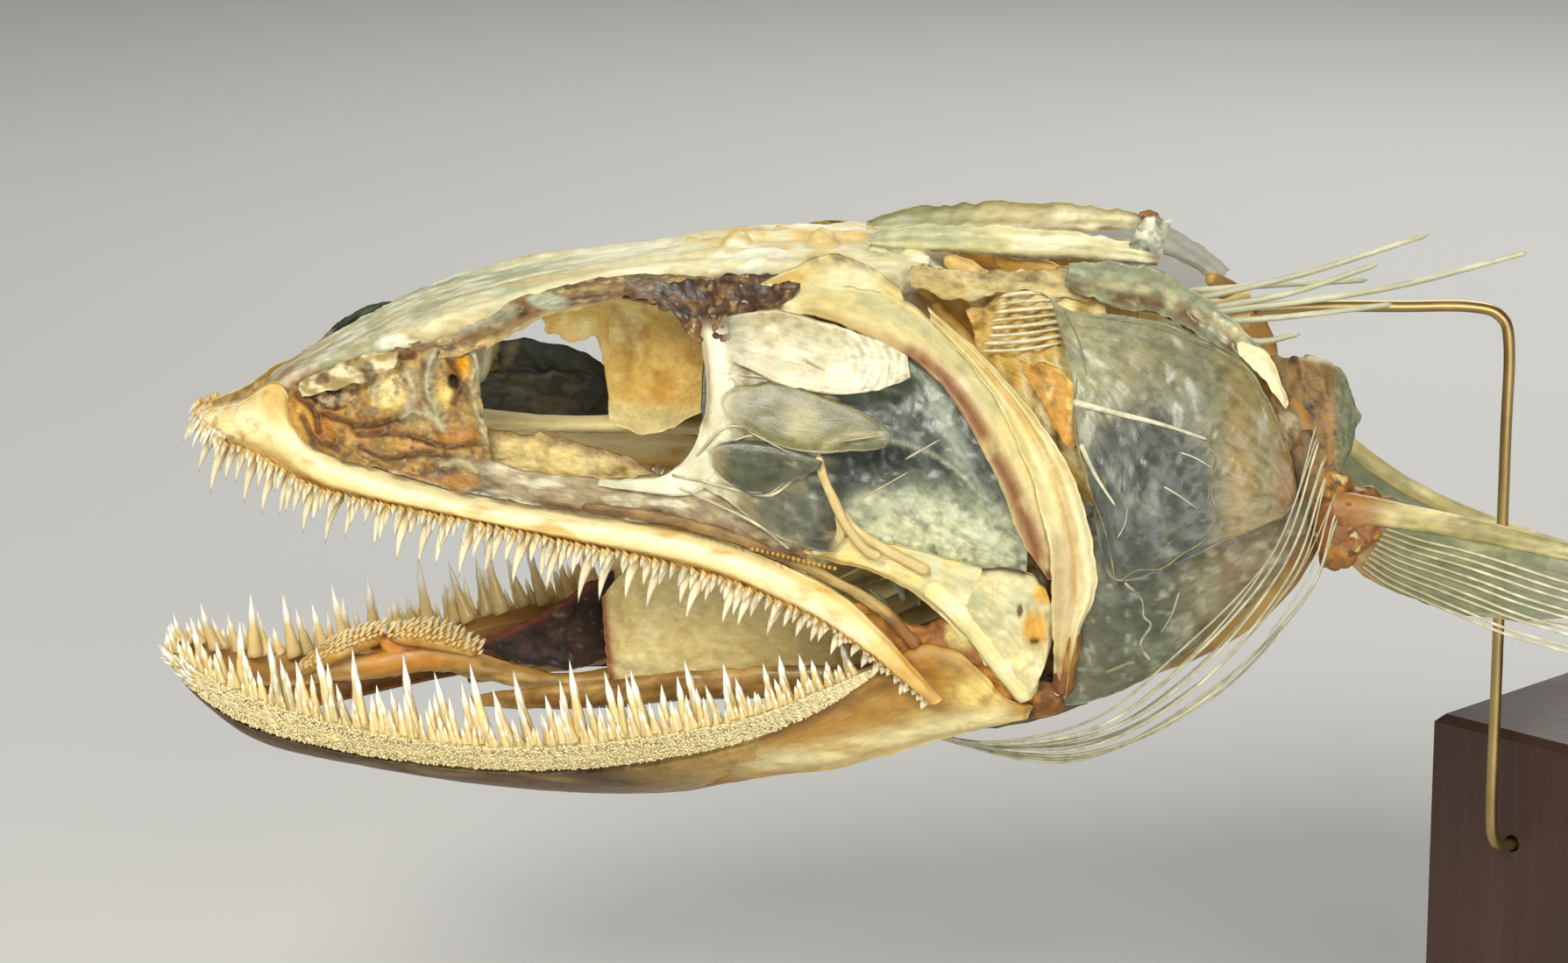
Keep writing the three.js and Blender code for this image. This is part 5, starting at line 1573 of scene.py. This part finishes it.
# ------------------------------------------------------------------ shoulder girdle, fins


def blade_side(x, z):
    """Half width between the long blades that run back from the skull."""
    return 3.9 + .196 * (x - 61)


blade_tint = painter(
    0xD6D2B0,
    (0xF4F2E2, .85, cloud((.08, 1, 1.6), .0, .4, 101)),
    (0xB9B070, .6, cloud((.1, 1, 1.8), .1, .5, 102)),
    (0x94A28C, .7, times(ramp(0, 72, 66), cloud((.1, 1, 1), -.3, .3, 100))),
    (0x6B4A24, .9, times(near_line([[66, 20.9], [72, 20.7], [78, 20.6], [84, 20.7]], .35),
        cloud((.5, 1, 1), -.4, .2, 67))),
    (BROWN, .7, ramp(0, 83, 84.6)))
pair("posttemporal", plate(
    [[60.6, 22.1], [63, 22.9], [67, 23.3], [72, 23.3], [77, 23], [81, 22.5], [84.6, 21.8]],
    [[60.6, 21.3], [63, 21], [67, 20.8], [72, 20.6], [77, 20.6], [81, 20.5], [84.6, 20.5]],
    blade_tint, side=blade_side, out=.3, thick=.7, step=.2, rag=.3, bumps=.3, seed=22,
    thin_edge=.3,
    relief=lambda x, z, u, v: .07 * np.sin(11 * v + .5 * np.sin(.6 * x))
    - .6 * np.abs(2 * v - 1) ** 3), "pale_bone", "posttemporal")
piece("posttemporal_hook", bar(
    [[84, 8.3, 21.2, .5, .3], [85.4, 8.6, 21.6, .45, .25], [86, 8.7, 20.6, .2, .15]],
    painter(0x8A5A26, (0xC08A40, .7, cloud(1, 0, .4, 103))), bumps=.4), "pale_bone")

scute_tint = painter(
    0x9AA096,
    (0xE3E5DC, .9, cloud(1.3, -.1, .3, 104)),
    (0x4E5550, .7, cloud(1.1, .1, .4, 105)))
piece("scute", plate(
    [[82.6, 23.6], [83.8, 24.6], [85.4, 24.4]], [[82.4, 21.6], [83.6, 21.2], [84.9, 21.4]],
    scute_tint,
    side=blade_side, out=.15, thick=.45, step=.12, rag=.5, bumps=.3, seed=50), "glassy_bone")


def collar(tints):
    """The bone between the blades on the neck and the shoulder girdle."""
    return plate(
        [[77, 21.2], [81, 21.3], [84.5, 20.7], [88, 19], [91, 16.8], [93, 14.8]],
        [[76.6, 19.6], [80.6, 18.4], [84, 17.9], [87, 16.6], [90, 14.8], [92.4, 13.4]],
        tints, out=-.5, step=.2, bumps=.4, rag=.35, seed=23,
        relief=lambda x, z, u, v: .12 * np.sin(14 * v + 2 * u) + .12 * lumps(x, z, 2, 51))


supracleithrum_left_tint = painter(
    0x98A08A,
    (0xC9C09A, .8, cloud((.4, .9, .9), 0, .45, 103)),
    (0x6A4A26, .9, times(near_line([[77, 19.4], [81, 19], [85, 18.4], [88, 17], [91, 14.8]], .7),
        cloud(.8, -.4, .2, 106))),
    (0xE4D9BC, .7, times(near_line([[80, 20], [85, 19.2], [89, 17.2], [92, 14.6]], .35),
        cloud(1, -.3, .3, 107))), opacity=.95)
piece("supracleithrum_left", collar(supracleithrum_left_tint),
    "glassy_bone", ["supracleithrum_left"])

supracleithrum_right_tint = painter(
    0xB9B79C,
    (0xD9D4B8, .8, cloud((.3, .8, .8), 0, .5, 103)), opacity=.35)
piece("supracleithrum_right", collar(supracleithrum_right_tint).mirrored(),
      "glassy_bone", ["supracleithrum_right"])

cleithrum_tint = painter(
    0x9A7238,
    (0xC9A765, .8, cloud(.35, -.1, .5, 104)),
    (RUST, .4, cloud(.5, .1, .6, 105)))
pair("cleithrum", bar([
    [91, -15.4, 14.8, .6, .5], [93.6, -18.8, 12, 1.2, .6], [96, -20.4, 7, 1.7, .7],
    [96, -20.4, 1.4, 1.6, .7], [93.4, -19.6, -4, 1.5, .7], [89, -16, -9, 1.4, .7],
    [83.4, -10, -13.4, 1.2, .7], [78, -3.4, -16.2, .8, .6]],
    cleithrum_tint,
    sides=18, seed=24), "amber_bone", "cleithrum")

shoulder_skin_tint = painter(
    0x7E6438,
    (0xAE7E3C, .7, times(cloud((.9, .9, .2), -.1, .4, 68), ramp(0, 94, 96))),
    (0x6E7C6C, .8, ramp(0, 97.4, 99)),
    (0x3E2C1A, .8, cloud((1, 1, .3), .1, .45, 69)),
    (0xC9C0A0, .7, times(disc(94.2, 9.6, 1.2, 1.6), cloud(.8, -.4, .2, 70))),
    (0xD8D2BE, .8, near_line([[95.6, 14.9], [98.6, 14.4]], .25)), opacity=.93)
piece("shoulder_skin", plate(
    [[92.6, 14.8], [94.8, 15], [97, 14.7], [99.2, 13], [100, 10.4]],
    [[93.4, 6], [95.2, 2.6], [96.8, 2], [98, 4.6], [99.2, 7.6]],
    shoulder_skin_tint,
    out=-.9, thick=.4, step=.18, rag=.6, bumps=.5, seed=42, stretch=.5,
    relief=lambda x, z, u, v: .22 * lumps(x * 1.4, z * .6, 1.6, 52)), "dried_tissue")

shoulder_chip_tint = painter(
    0xECE2C2,
    (0xC9AE74, .6, cloud(.9, .1, .5, 71)),
    (0x9A6A34, .7, times(ramp(2, 13, 11.6), cloud(1, -.4, .3, 72))))
piece("shoulder_chip", plate(
    [[90.2, 16.2], [91.4, 16.1], [92.8, 15.3], [93.6, 13.6], [94.2, 11.9]],
    [[90.2, 15.5], [91.2, 14.6], [92.3, 13.5], [93.2, 12.4], [94, 11.5]],
    shoulder_chip_tint,
    out=1.3, thick=.9, step=.12, rag=.25, bumps=.4, seed=56), "ivory_bone")

FIN_ROOT = (97.6, -22.4)  # place along and across


def fin_side(x, z):
    """Half width of the left fin, which points back and a little outwards."""
    return -FIN_ROOT[1] + .06 * (x - FIN_ROOT[0])


fin_cuff_tint = painter(
    0x8A5A26,
    (0xC98F3C, .8, cloud(1.2, -.1, .35, 72)),
    (0x4E2E14, .8, cloud(1.3, .1, .4, 73)),
    (0xDCC690, .8, cloud(1.6, .3, .5, 74)))
fin_cuff = plate(
    [[96.4, 5.6], [98.4, 5.9], [100.6, 4.9], [103.8, 3.5]],
    [[96.8, -1.6], [98.4, -2.4], [100.2, -1], [103, 1.4]], fin_cuff_tint, side=fin_side, out=.95,
    thick=2.1, step=.15, rag=.6, bumps=.4, seed=43, stretch=.8,
    relief=lambda x, z, u, v: .45 * lumps(x, z, 1.1, 53) - 1.1 * np.abs(2 * v - 1) ** 3
    - .6 * u ** 2)
fin_stem = bar(
    [[95.8, -20, 4.6, 1.4, .9], [96.8, -21.2, 3.6, 1.7, .9], [98, -22.2, 2.4, 1.4, .8]],
    painter(0x7E5426, (0xB98A46, .8, cloud(1, 0, .4, 74))), bumps=.5, seed=44)
pair("fin_root_skin", [fin_cuff, fin_stem], "dried_tissue")


def drooped(shape, drop):
    """A fin that hangs lower past its root."""
    past = np.clip(shape.points[:, 0] - FIN_ROOT[0] - .6, 0, None) / 9
    points = shape.points.copy()
    points[:, 2] -= drop * (1 - np.exp(-past ** 1.3))
    return Shape(points, shape.faces, shape.tint, shape.grain)


def pectoral_fin():
    """The left fin: a stout first ray, nine fine ones and the web between them."""
    top = [[99.6, 4], [104, 2.7], [110.8, 1.6], [117, 0], [127, -2.8], [137, -5.8], [147, -8.8]]
    low = [[98.4, -.2], [101.6, -3], [107.2, -5.6], [113.4, -7.9], [124, -10], [136, -10.4],
           [146, -9.8]]
    web = plate(
        [[99.6, 4], [104, 2.7], [110.8, 1.6], [117, 0], [124, -2]],
        [[98.4, -.2], [101.6, -2.8], [107.2, -4.9], [113.4, -5.8], [123, -4.4]],
        painter(
            0x7B8262,
            (0xB3B38C, .7, cloud((.1, 1.2, 1.2), 0, .5, 111)),
            (0x9A6A34, .8, ramp(0, 104, 100)),
            opacity=lambda p: .85 - .5 * smooth(106, 122, p[:, 0])), side=fin_side, thick=.25,
        out=.1, step=.5, rag=.3, bumps=.1, seed=25)
    first_ray = bar(
        [[97.6, -22.4, 2.9, 2.2, .9], [101.4, -22.7, 3.1, 1.2, .8], [110.8, -23.2, 1.4, .9, .6],
         [124, -24, -1.9, .6, .5], [146.6, -25.3, -8.9, .4, .4]],
        painter(
            0xBDB27E,
            (0xE6DDB4, .8, cloud((.1, 1.4, 1.4), 0, .45, 112)),
            (0x7F7A4E, .7, cloud((.08, 1.6, 1.6), .1, .5, 110)),
            (0x9C6226, .9, ramp(0, 104.5, 99))), seed=26)
    root = bar(
        [[97.6, -22.4, 4.4, 1.1, .8], [98.2, -22.4, 1.4, 1.6, .9], [99.2, -22.5, -1.6, 1.1, .7]],
        painter(0x8F5520, (0xC08A3C, .8, cloud(.8, 0, .5, 113))), seed=27)
    shapes = [web, first_ray, root]
    for i in range(9):
        share = .34 + .66 * i / 8
        begin = .13 - .03 * share
        along = np.linspace(begin, 1 - .12 * share - .06 * np.sin(5 * i), 10)
        spread = (share + np.linspace(-.1, .04 * np.sin(3 * i), 10))[:, None]
        line = curve(top, along) * (1 - spread) + curve(low, along) * spread
        pts = [(x, -(fin_side(x, z) + .22), z) for x, z in line]
        tints = painter(
            0xC9C6B0,
            (0xF2F0E2, .8, cloud((3.2, 1, 1), .05, .3, 114 + i)),
            (0x8F8A6A, .8, ramp(0, 112, 104)))
        shapes.append(rod(pts, .15, tints, sides=6, thin=.6, step=.6, seed=i))
    return merge(shapes)


fin = pectoral_fin()
piece("pectoral_fin_left", fin, "fin_rays", ["pectoral_fin_left"])
piece("pectoral_fin_right", drooped(fin, 10.2).mirrored(), "fin_rays", ["pectoral_fin_right"])

# ------------------------------------------------------------------ throat and gills


def hyoid():
    """The bar under the tongue, with the long rays that spread from it under the gill cover."""
    strut = bar(
        [[26, -3, -18.6, .3, .3], [29, -4.2, -18.2, .7, .5], [36, -6.4, -17.2, 1.2, .7],
         [47, -10, -15.2, 1.3, .7], [58, -13, -14, 1.5, .7], [66, -14.4, -13.2, 1.2, .7]],
        painter(
            0x94703C,
            (0xC6A468, .8, cloud((.1, .9, .9), -.1, .4, 121)),
            (0x6A4A28, .7, cloud((.15, 1, 1), .1, .5, 122))), seed=28, bumps=.25)
    shapes = [strut]
    draw = np.random.default_rng(81)
    for i in range(11):
        s = min(1, max(0, i / 10 + draw.uniform(-.05, .05)))
        lift = 1.3 + draw.uniform(0, 1.2)
        wave = draw.uniform(-.7, .7, 4)
        pts = [(48 + 17 * s, -10.3 - 4 * s, -15.2 + 1.8 * s),
               (64 + 4 * s, -11 - 5.5 * s, -18.8 + .8 * s),
               on_cheek(77 + s, -18.6 + 3.4 * s + .4 * wave[0], lift - 1.2),
               on_cheek(88 - 2.6 * s, -12.4 + 4.4 * s + wave[1], lift),
               on_cheek(95.6 - 3 * s + .6 * wave[2], -3.4 + 4 * s, lift),
               on_cheek(98 - 1.6 * s + .6 * wave[3], 3 + 7.4 * s, lift)]
        tints = painter(0xC4C3B2, (0xEDEBDD, .7, cloud(.5, 0, .5, 130 + i)), opacity=.85)
        shapes.append(rod(pts, draw.uniform(.11, .2), tints, sides=7, thin=.5, seed=30 + i))
    return shapes


pair("hyoid_rays", hyoid(), "glassy_bone", "hyoid_rays")

arch_tint = painter(
    0x9A8A5C,
    (0xC9BE92, .8, cloud(.5, -.1, .5, 141)),
    (0x5E5030, .7, cloud(.6, .1, .5, 140)))


def arch(back):
    """One of the gill arches."""
    rows = [[46, -2.6, -12.6, .7, .5], [57, -8.4, -10.6, .8, .5], [66, -11.6, -5.6, .8, .5],
            [68, -11.4, 1.6, .7, .5], [64, -8.6, 6.4, .5, .4]]
    return bar([[x + back, *rest] for x, *rest in rows], arch_tint, seed=32)


arches = [arch(back) for back in (0, 4.2, 8.4)]
raker_tint = painter(0xA9AE98, (0xD6D8C6, .7, cloud(1, -.1, .4, 108)))
RAKER_LINE = [[57, -8.4, -10.6], [62, -10.2, -8.6], [66, -11.6, -5.6], [68, -11.6, -1.6]]
for i, root in enumerate(curve(RAKER_LINE, np.linspace(0, 1, 12))):
    tip = root + [-1.8 + .5 * (i % 4), -1.6 - .3 * (i % 3), 2.2 + .5 * (i % 2)]
    middle = (root + tip) / 2 + [.3, -.2, 0]
    arches.append(rod([root, middle, tip], .16 + .1 * (i % 3), raker_tint, sides=7, thin=.5))
arches.append(rod([[44, -2.6, -12.8], [50, -2.7, -12.6], [56, -2.8, -12.4]], .7, arch_tint))
pair("gill_arches", arches, "amber_bone", "gill_arches")

tongue_tint = painter(
    0xC99A48,
    (0xEACB86, .8, cloud(.9, -.1, .5, 142)),
    (0x8A5A20, .6, cloud(.9, .2, .5, 147)))
# The tongue's two toothed plates: place along, height, half height and half width.
TONGUE_PLATES = [[[11.6, -16.9, .6, 1], [15, -14.9, 1, 2.2], [19, -13.4, .8, 1.2]],
                 [[19.4, -13.6, .7, 1.4], [23.4, -13.7, 1, 2.4], [27.4, -15.2, .6, 1.2]]]

tongue_bar_tint = painter(
    0xA8803C,
    (0xD6B878, .8, cloud((.12, 1.2, 1.2), -.1, .4, 143)),
    (0x6A4418, .8, cloud((.15, 1.3, 1.3), .1, .5, 144)),
    (0xC98A34, .8, times(ramp(0, 27, 23), ramp(0, 16, 19))))
tongue_bar = bar(
    [[12.5, 0, -17, .8, 1], [18, 0, -16.3, 1.1, 1.1], [23.5, 0, -15.5, 1.3, 1.2],
     [27.5, 0, -16.6, 1.1, 1.1], [31, 0, -17.4, .9, 1], [36, 0, -17.9, .9, 1],
     [43, 0, -16.2, 1, 1], [50, 0, -14.5, 1, 1]], tongue_bar_tint, bumps=.3, seed=53)

tongue_lump_tint = painter(
    0xC9761C,
    (0xE8B45C, .8, cloud(.8, 0, .4, 145)),
    (0x7E4712, .7, cloud(.8, .1, .4, 146)))
tongue_lump = bar([[18.6, 0, -13.8, .5, .7], [20.4, 0, -15, 1.2, .9], [22.6, 0, -15.2, 1.3, 1]],
        tongue_lump_tint, bumps=.5, seed=54)
tongue = [bar(np.insert(rows, 1, 0, axis=1), tongue_tint) for rows in TONGUE_PLATES]
piece("tongue", [*tongue, tongue_bar, tongue_lump], "amber_bone", ["tongue"])


def tongue_teeth():
    """Short teeth in rows over the tongue's two plates, leaning back."""
    draw = np.random.default_rng(91)
    patches = []
    along, over = 15, 11
    n = along * over
    for rows in TONGUE_PLATES:
        u = np.repeat(np.linspace(.02, .98, along), over) + draw.uniform(-.012, .012, n)
        middle = curve(rows, u)
        side = np.tile(np.linspace(-1, 1, over), along) + draw.uniform(-.05, .05, n)
        side = np.clip(side, -1, 1)
        roots = np.column_stack([middle[:, 0], side * middle[:, 3] * .95,
                                 middle[:, 1] + middle[:, 2] * np.sqrt(1 - side ** 2 * .9) - .1])
        lean = np.column_stack([draw.uniform(.5, .9, n), side * .5, np.ones(n)])
        lengths, radii = draw.uniform(.6, .95, n), np.full(n, .17)
        patches.append(teeth(roots, lean, lengths, radii, 0xC08A34, 0xF0DDA8,
                             bend=-.12, sides=7, rings=5))
    return patches


piece("tongue_teeth", tongue_teeth(), "ivory_bone", material=TOOTH_ENAMEL)

# ------------------------------------------------------------------ spine

SPINE_STEP = 4.8  # from one vertebra to the next
LOOSE_RODS = (
    [[83.4, -1.2, 15.2], [96, -3, 18.4], [107.6, -3.4, 22.2]],
    [[88.2, -1, 15.2], [96, -2.4, 16.9], [103.4, -3.2, 19.6]],
    [[78.6, 1, 15.4], [92, 2.6, 16.4], [103.4, 3.4, 16.9]],
    [[88.2, -1.2, 14.8], [103.5, -3.6, 17.5], [115.6, -4.8, 20.9]],
    [[83.4, -1.4, 14], [94, -3.6, 15], [104.6, -4.4, 16.4]],
    [[88.2, -1.2, 14], [93, -3.4, 13], [97, -4, 13.8]])


def vertebrae():
    """The stub of the spine, with the loose rods that stick out behind."""
    tint = painter(
        0xC9A866,
        (0xE0CE9B, .8, cloud(.5, -.1, .5, 151)),
        (0x9A6A2C, .5, cloud(.5, .2, .6, 152)))
    shapes = []
    for i in range(5):
        x = 69 + i * SPINE_STEP
        rim = 2.3 - .1 * i
        end, mid = x + SPINE_STEP, x + SPINE_STEP / 2
        shapes.append(bar(
            [[x, 0, 14.6, rim, rim], [x + .5, 0, 14.6, rim * .95, rim * .95],
             [mid, 0, 14.7, .6 * rim, .6 * rim], [end - .5, 0, 14.8, rim * .95, rim * .95],
             [end - .05, 0, 14.8, rim, rim]], tint, sides=20, blunt=False))
        for side in (-1, 1) if i < 2 else ():
            shapes.append(bar([
                [mid - .6, side * 1.1, 15.6, .8, .4], [mid + 1.2, side * .8, 17.4, .5, .3],
                [mid + 3.4, side * .2, 19.2, .25, .2]], tint, sides=10))
            shapes.append(bar([
                [mid, side * 1.2, 14.4, .8, .5], [mid + 1.4, side * 3.4, 13.6, .5, .35],
                [mid + 3, side * 5.4, 13.2, .25, .25]], tint, sides=10, across=(0, 0, 1)))
    for i, line in enumerate(LOOSE_RODS):
        tints = painter(0xB4B7A8, (0xDCDDD2, .7, cloud((.2, 1, 1), 0, .5, 160 + i)))
        shapes.append(rod(line, .32, tints, sides=8, thin=.75, seed=i))
    return shapes


piece("vertebrae", vertebrae(), "pale_bone", ["vertebrae"])

neck_tint = painter(
    0xC99B45,
    (0xE2CB8A, .8, cloud(.7, -.1, .4, 153)),
    (0x8F5E22, .6, cloud(.7, .1, .5, 154)))
# The loose small bones of the neck: rows as for bar().
NECK_BONES = (
    [[63, -5, 19.4, .6, .8], [66, -6, 18, .9, .6], [69.4, -6.6, 15.4, .8, .5],
     [71, -6.8, 13, .5, .4]],
    [[67, -4, 20.4, .6, .6], [70, -5.4, 18.6, 1, .5], [73.4, -6.6, 17.6, .7, .4]],
    [[71, -3.4, 20.4, .7, .5], [74.4, -5, 19.4, 1.1, .5], [78, -6.4, 19, .8, .4],
     [81, -7.4, 18.8, .5, .4]],
    [[75, -3, 20, .7, .5], [79, -4.6, 19.4, 1, .5], [84, -6.4, 19, .8, .4]],
    [[66, -7, 17, .5, .5], [68.6, -8, 14.4, .6, .5], [70, -8.4, 11.6, .5, .4]])
neck_bones = [bar(rows, neck_tint, sides=12, bumps=.5, seed=i)
              for i, rows in enumerate(NECK_BONES)]
pair("neck_bones", neck_bones, "pale_bone")

neck_skin_tint = painter(
    0xBDA870,
    (0xE2D4A6, .8, cloud((.5, .9, .9), -.1, .4, 156)),
    (0x5A4028, .85, times(near_line([[70, 20.2], [78, 19.9], [84, 19], [90, 16]], .5),
        cloud((.5, 1, 1), -.4, .2, 157))))
piece("neck_skin", plate(
    [[64, 20.6], [68, 20.4], [73, 20.4], [78, 20.6], [84, 19.9], [89, 17.6], [92.4, 14.8]],
    [[64, 19], [68, 18.4], [73, 19], [78, 18.6], [84, 17.6], [88.6, 15.6], [91.8, 13.6]],
    neck_skin_tint,
    out=-1.6, thick=.5, step=.25, rag=.5, bumps=.7, seed=45), "dried_tissue")

# ------------------------------------------------------------------ far side of the head

far_glass = painter(
    0x3B403A,
    (0x6C726A, .7, cloud(.5, .05, .5, 158)),
    (0x9A8A66, .7, near_line([[28.2, 3], [28.6, 6], [30, 9.4]], .4)), opacity=.95)
piece("far_socket_skin", plate(
    [[27.8, 9.2], [30, 9.8], [33, 9.3], [36, 8.6], [38.2, 7]],
    [[27.8, 3], [30, 2.6], [33, 2.6], [36, 3], [38.2, 5.6]], far_glass,
    side=lambda x, z: 13 + 0 * x, thick=.3, step=.3, rag=.3, bumps=.4, seed=46).mirrored(),
    "dried_tissue")


def throat_side(x, z):
    """Half width of the skin between the throat and the lower jaw."""
    return np.interp(x, [36, 38, 47, 57, 64], [3.4, 4.2, 7.4, 11.2, 13])


throat_skin_tint = painter(
    0xE6D49E,
    (0xF2E6BE, .8, cloud(.25, -.15, .4, 159)),
    (0xC9AE70, .5, cloud((.2, .5, .5), .1, .5, 158)),
    (0x8A3F16, .95,
     times(near_line([[38, -9], [38.3, -12], [38.8, -16.6]], .5), ramp(0, 40, 39))),
    (0x9A7A42, .6, ramp(0, 57, 63)))
pair("throat_skin", plate(
    [[38, -9.2], [40.6, -6.4], [46, -5], [52, -5.6], [58, -7.4], [63, -9]],
    [[38.6, -16.6], [42, -16.9], [47, -16.4], [53, -15.6], [58, -15], [63, -14.4]],
    throat_skin_tint, side=throat_side, out=0, thick=.35, step=.25, rag=.25, bumps=.5, seed=47,
    stretch=.6), "pale_bone")

throat_window_tint = painter(
    0x2E1A10,
    (0x55301A, .7, cloud(.5, 0, .4, 148)),
    (0x8A3F16, .8, near_line([[27.4, -15.3], [31, -13.8], [34.3, -11.9], [37, -10]], .35)),
    (0x8E8A84, .5, cloud(1.4, .3, .5, 149)), opacity=.93)
piece("throat_window", plate(
    [[27, -15.2], [31, -13.6], [34.3, -11.7], [36, -10.4], [38.8, -9]],
    [[27.6, -16], [30.5, -17.2], [34.3, -17.7], [36.6, -17.4], [38.8, -16.6]], throat_window_tint,
    side=lambda x, z: 4 + 0 * x, thick=.3, step=.25, rag=.3, bumps=.5, seed=55,
    stretch=.6).mirrored(), "dried_tissue")

# ------------------------------------------------------------------ stand

WIRE_RADIUS = .5
WIRE_PATH = [
    [93.3, 0, 15], [99, 0, 15.3], [106, 0, 15.3], [111.6, 0, 15.3], [114.3, 0, 14.5],
    [115.2, 0, 11.9], [115.2, 0, 4], [115.2, 0, -8], [115.2, 0, -20], [115.2, 0, -29.6],
    [115.7, .5, -32.5], [117.1, 1.9, -33.3], [119.8, 4.6, -33.3]]


def brass_material():
    """Old brass, darker where it is tarnished."""
    brass = bpy.data.materials.new("brass_wire")
    tree, shader = nodes_of(brass)
    place = add_node(tree, "ShaderNodeTexCoord").outputs["Object"]
    tarnish = add_node(tree, "ShaderNodeTexNoise", {
        "Vector": place, "Scale": 260.0, "Detail": 5.0})
    tint = mix_colours(tree, "MIX", tarnish.outputs[0], (.30, .20, .07, 1),
                       (.62, .46, .2, 1))
    tree.links.new(tint, shader.inputs["Base Color"])
    worn = add_node(tree, "ShaderNodeMapRange", {
        "Value": tarnish.outputs[0], "To Min": .25, "To Max": .55})
    tree.links.new(worn.outputs[0], shader.inputs["Roughness"])
    shader.inputs["Metallic"].default_value = 1.0
    return brass


def wood_material():
    """Dark wood with upright fibres and fine pores."""
    wood = bpy.data.materials.new("dark_wood")
    tree, shader = nodes_of(wood)
    place = add_node(tree, "ShaderNodeTexCoord").outputs["Object"]
    grain = add_node(tree, "ShaderNodeMapping", {"Vector": place, "Scale": (1, 1, .06)})
    fibre = add_node(tree, "ShaderNodeTexNoise", {
        "Vector": grain.outputs[0], "Scale": 420.0, "Detail": 8.0, "Roughness": .65})
    broad = add_node(tree, "ShaderNodeTexNoise", {
        "Vector": grain.outputs[0], "Scale": 90.0, "Detail": 3.0, "Distortion": .6})
    deep = mix_colours(tree, "MIX", fibre.outputs[0], (.012, .006, .004, 1),
                       (.075, .035, .02, 1))
    shade = mix_colours(tree, "MIX", broad.outputs[0], (.5, .42, .4, 1), (1.5, 1.3, 1.1, 1))
    warm = mix_colours(tree, "MULTIPLY", .7, deep, shade)
    tree.links.new(warm, shader.inputs["Base Color"])
    pores = add_node(tree, "ShaderNodeBump", {
        "Strength": .5, "Distance": .0002, "Height": fibre.outputs[0]})
    tree.links.new(pores.outputs[0], shader.inputs["Normal"])
    shader.inputs["Roughness"].default_value = .45
    return wood


piece("stand_wire", rod(WIRE_PATH, WIRE_RADIUS, painter(0xA9925A), sides=16, step=.6),
    "brass_wire", ["stand_wire"], brass_material())
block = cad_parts["stand_block"]
block.data.materials.clear()
block.data.materials.append(wood_material())
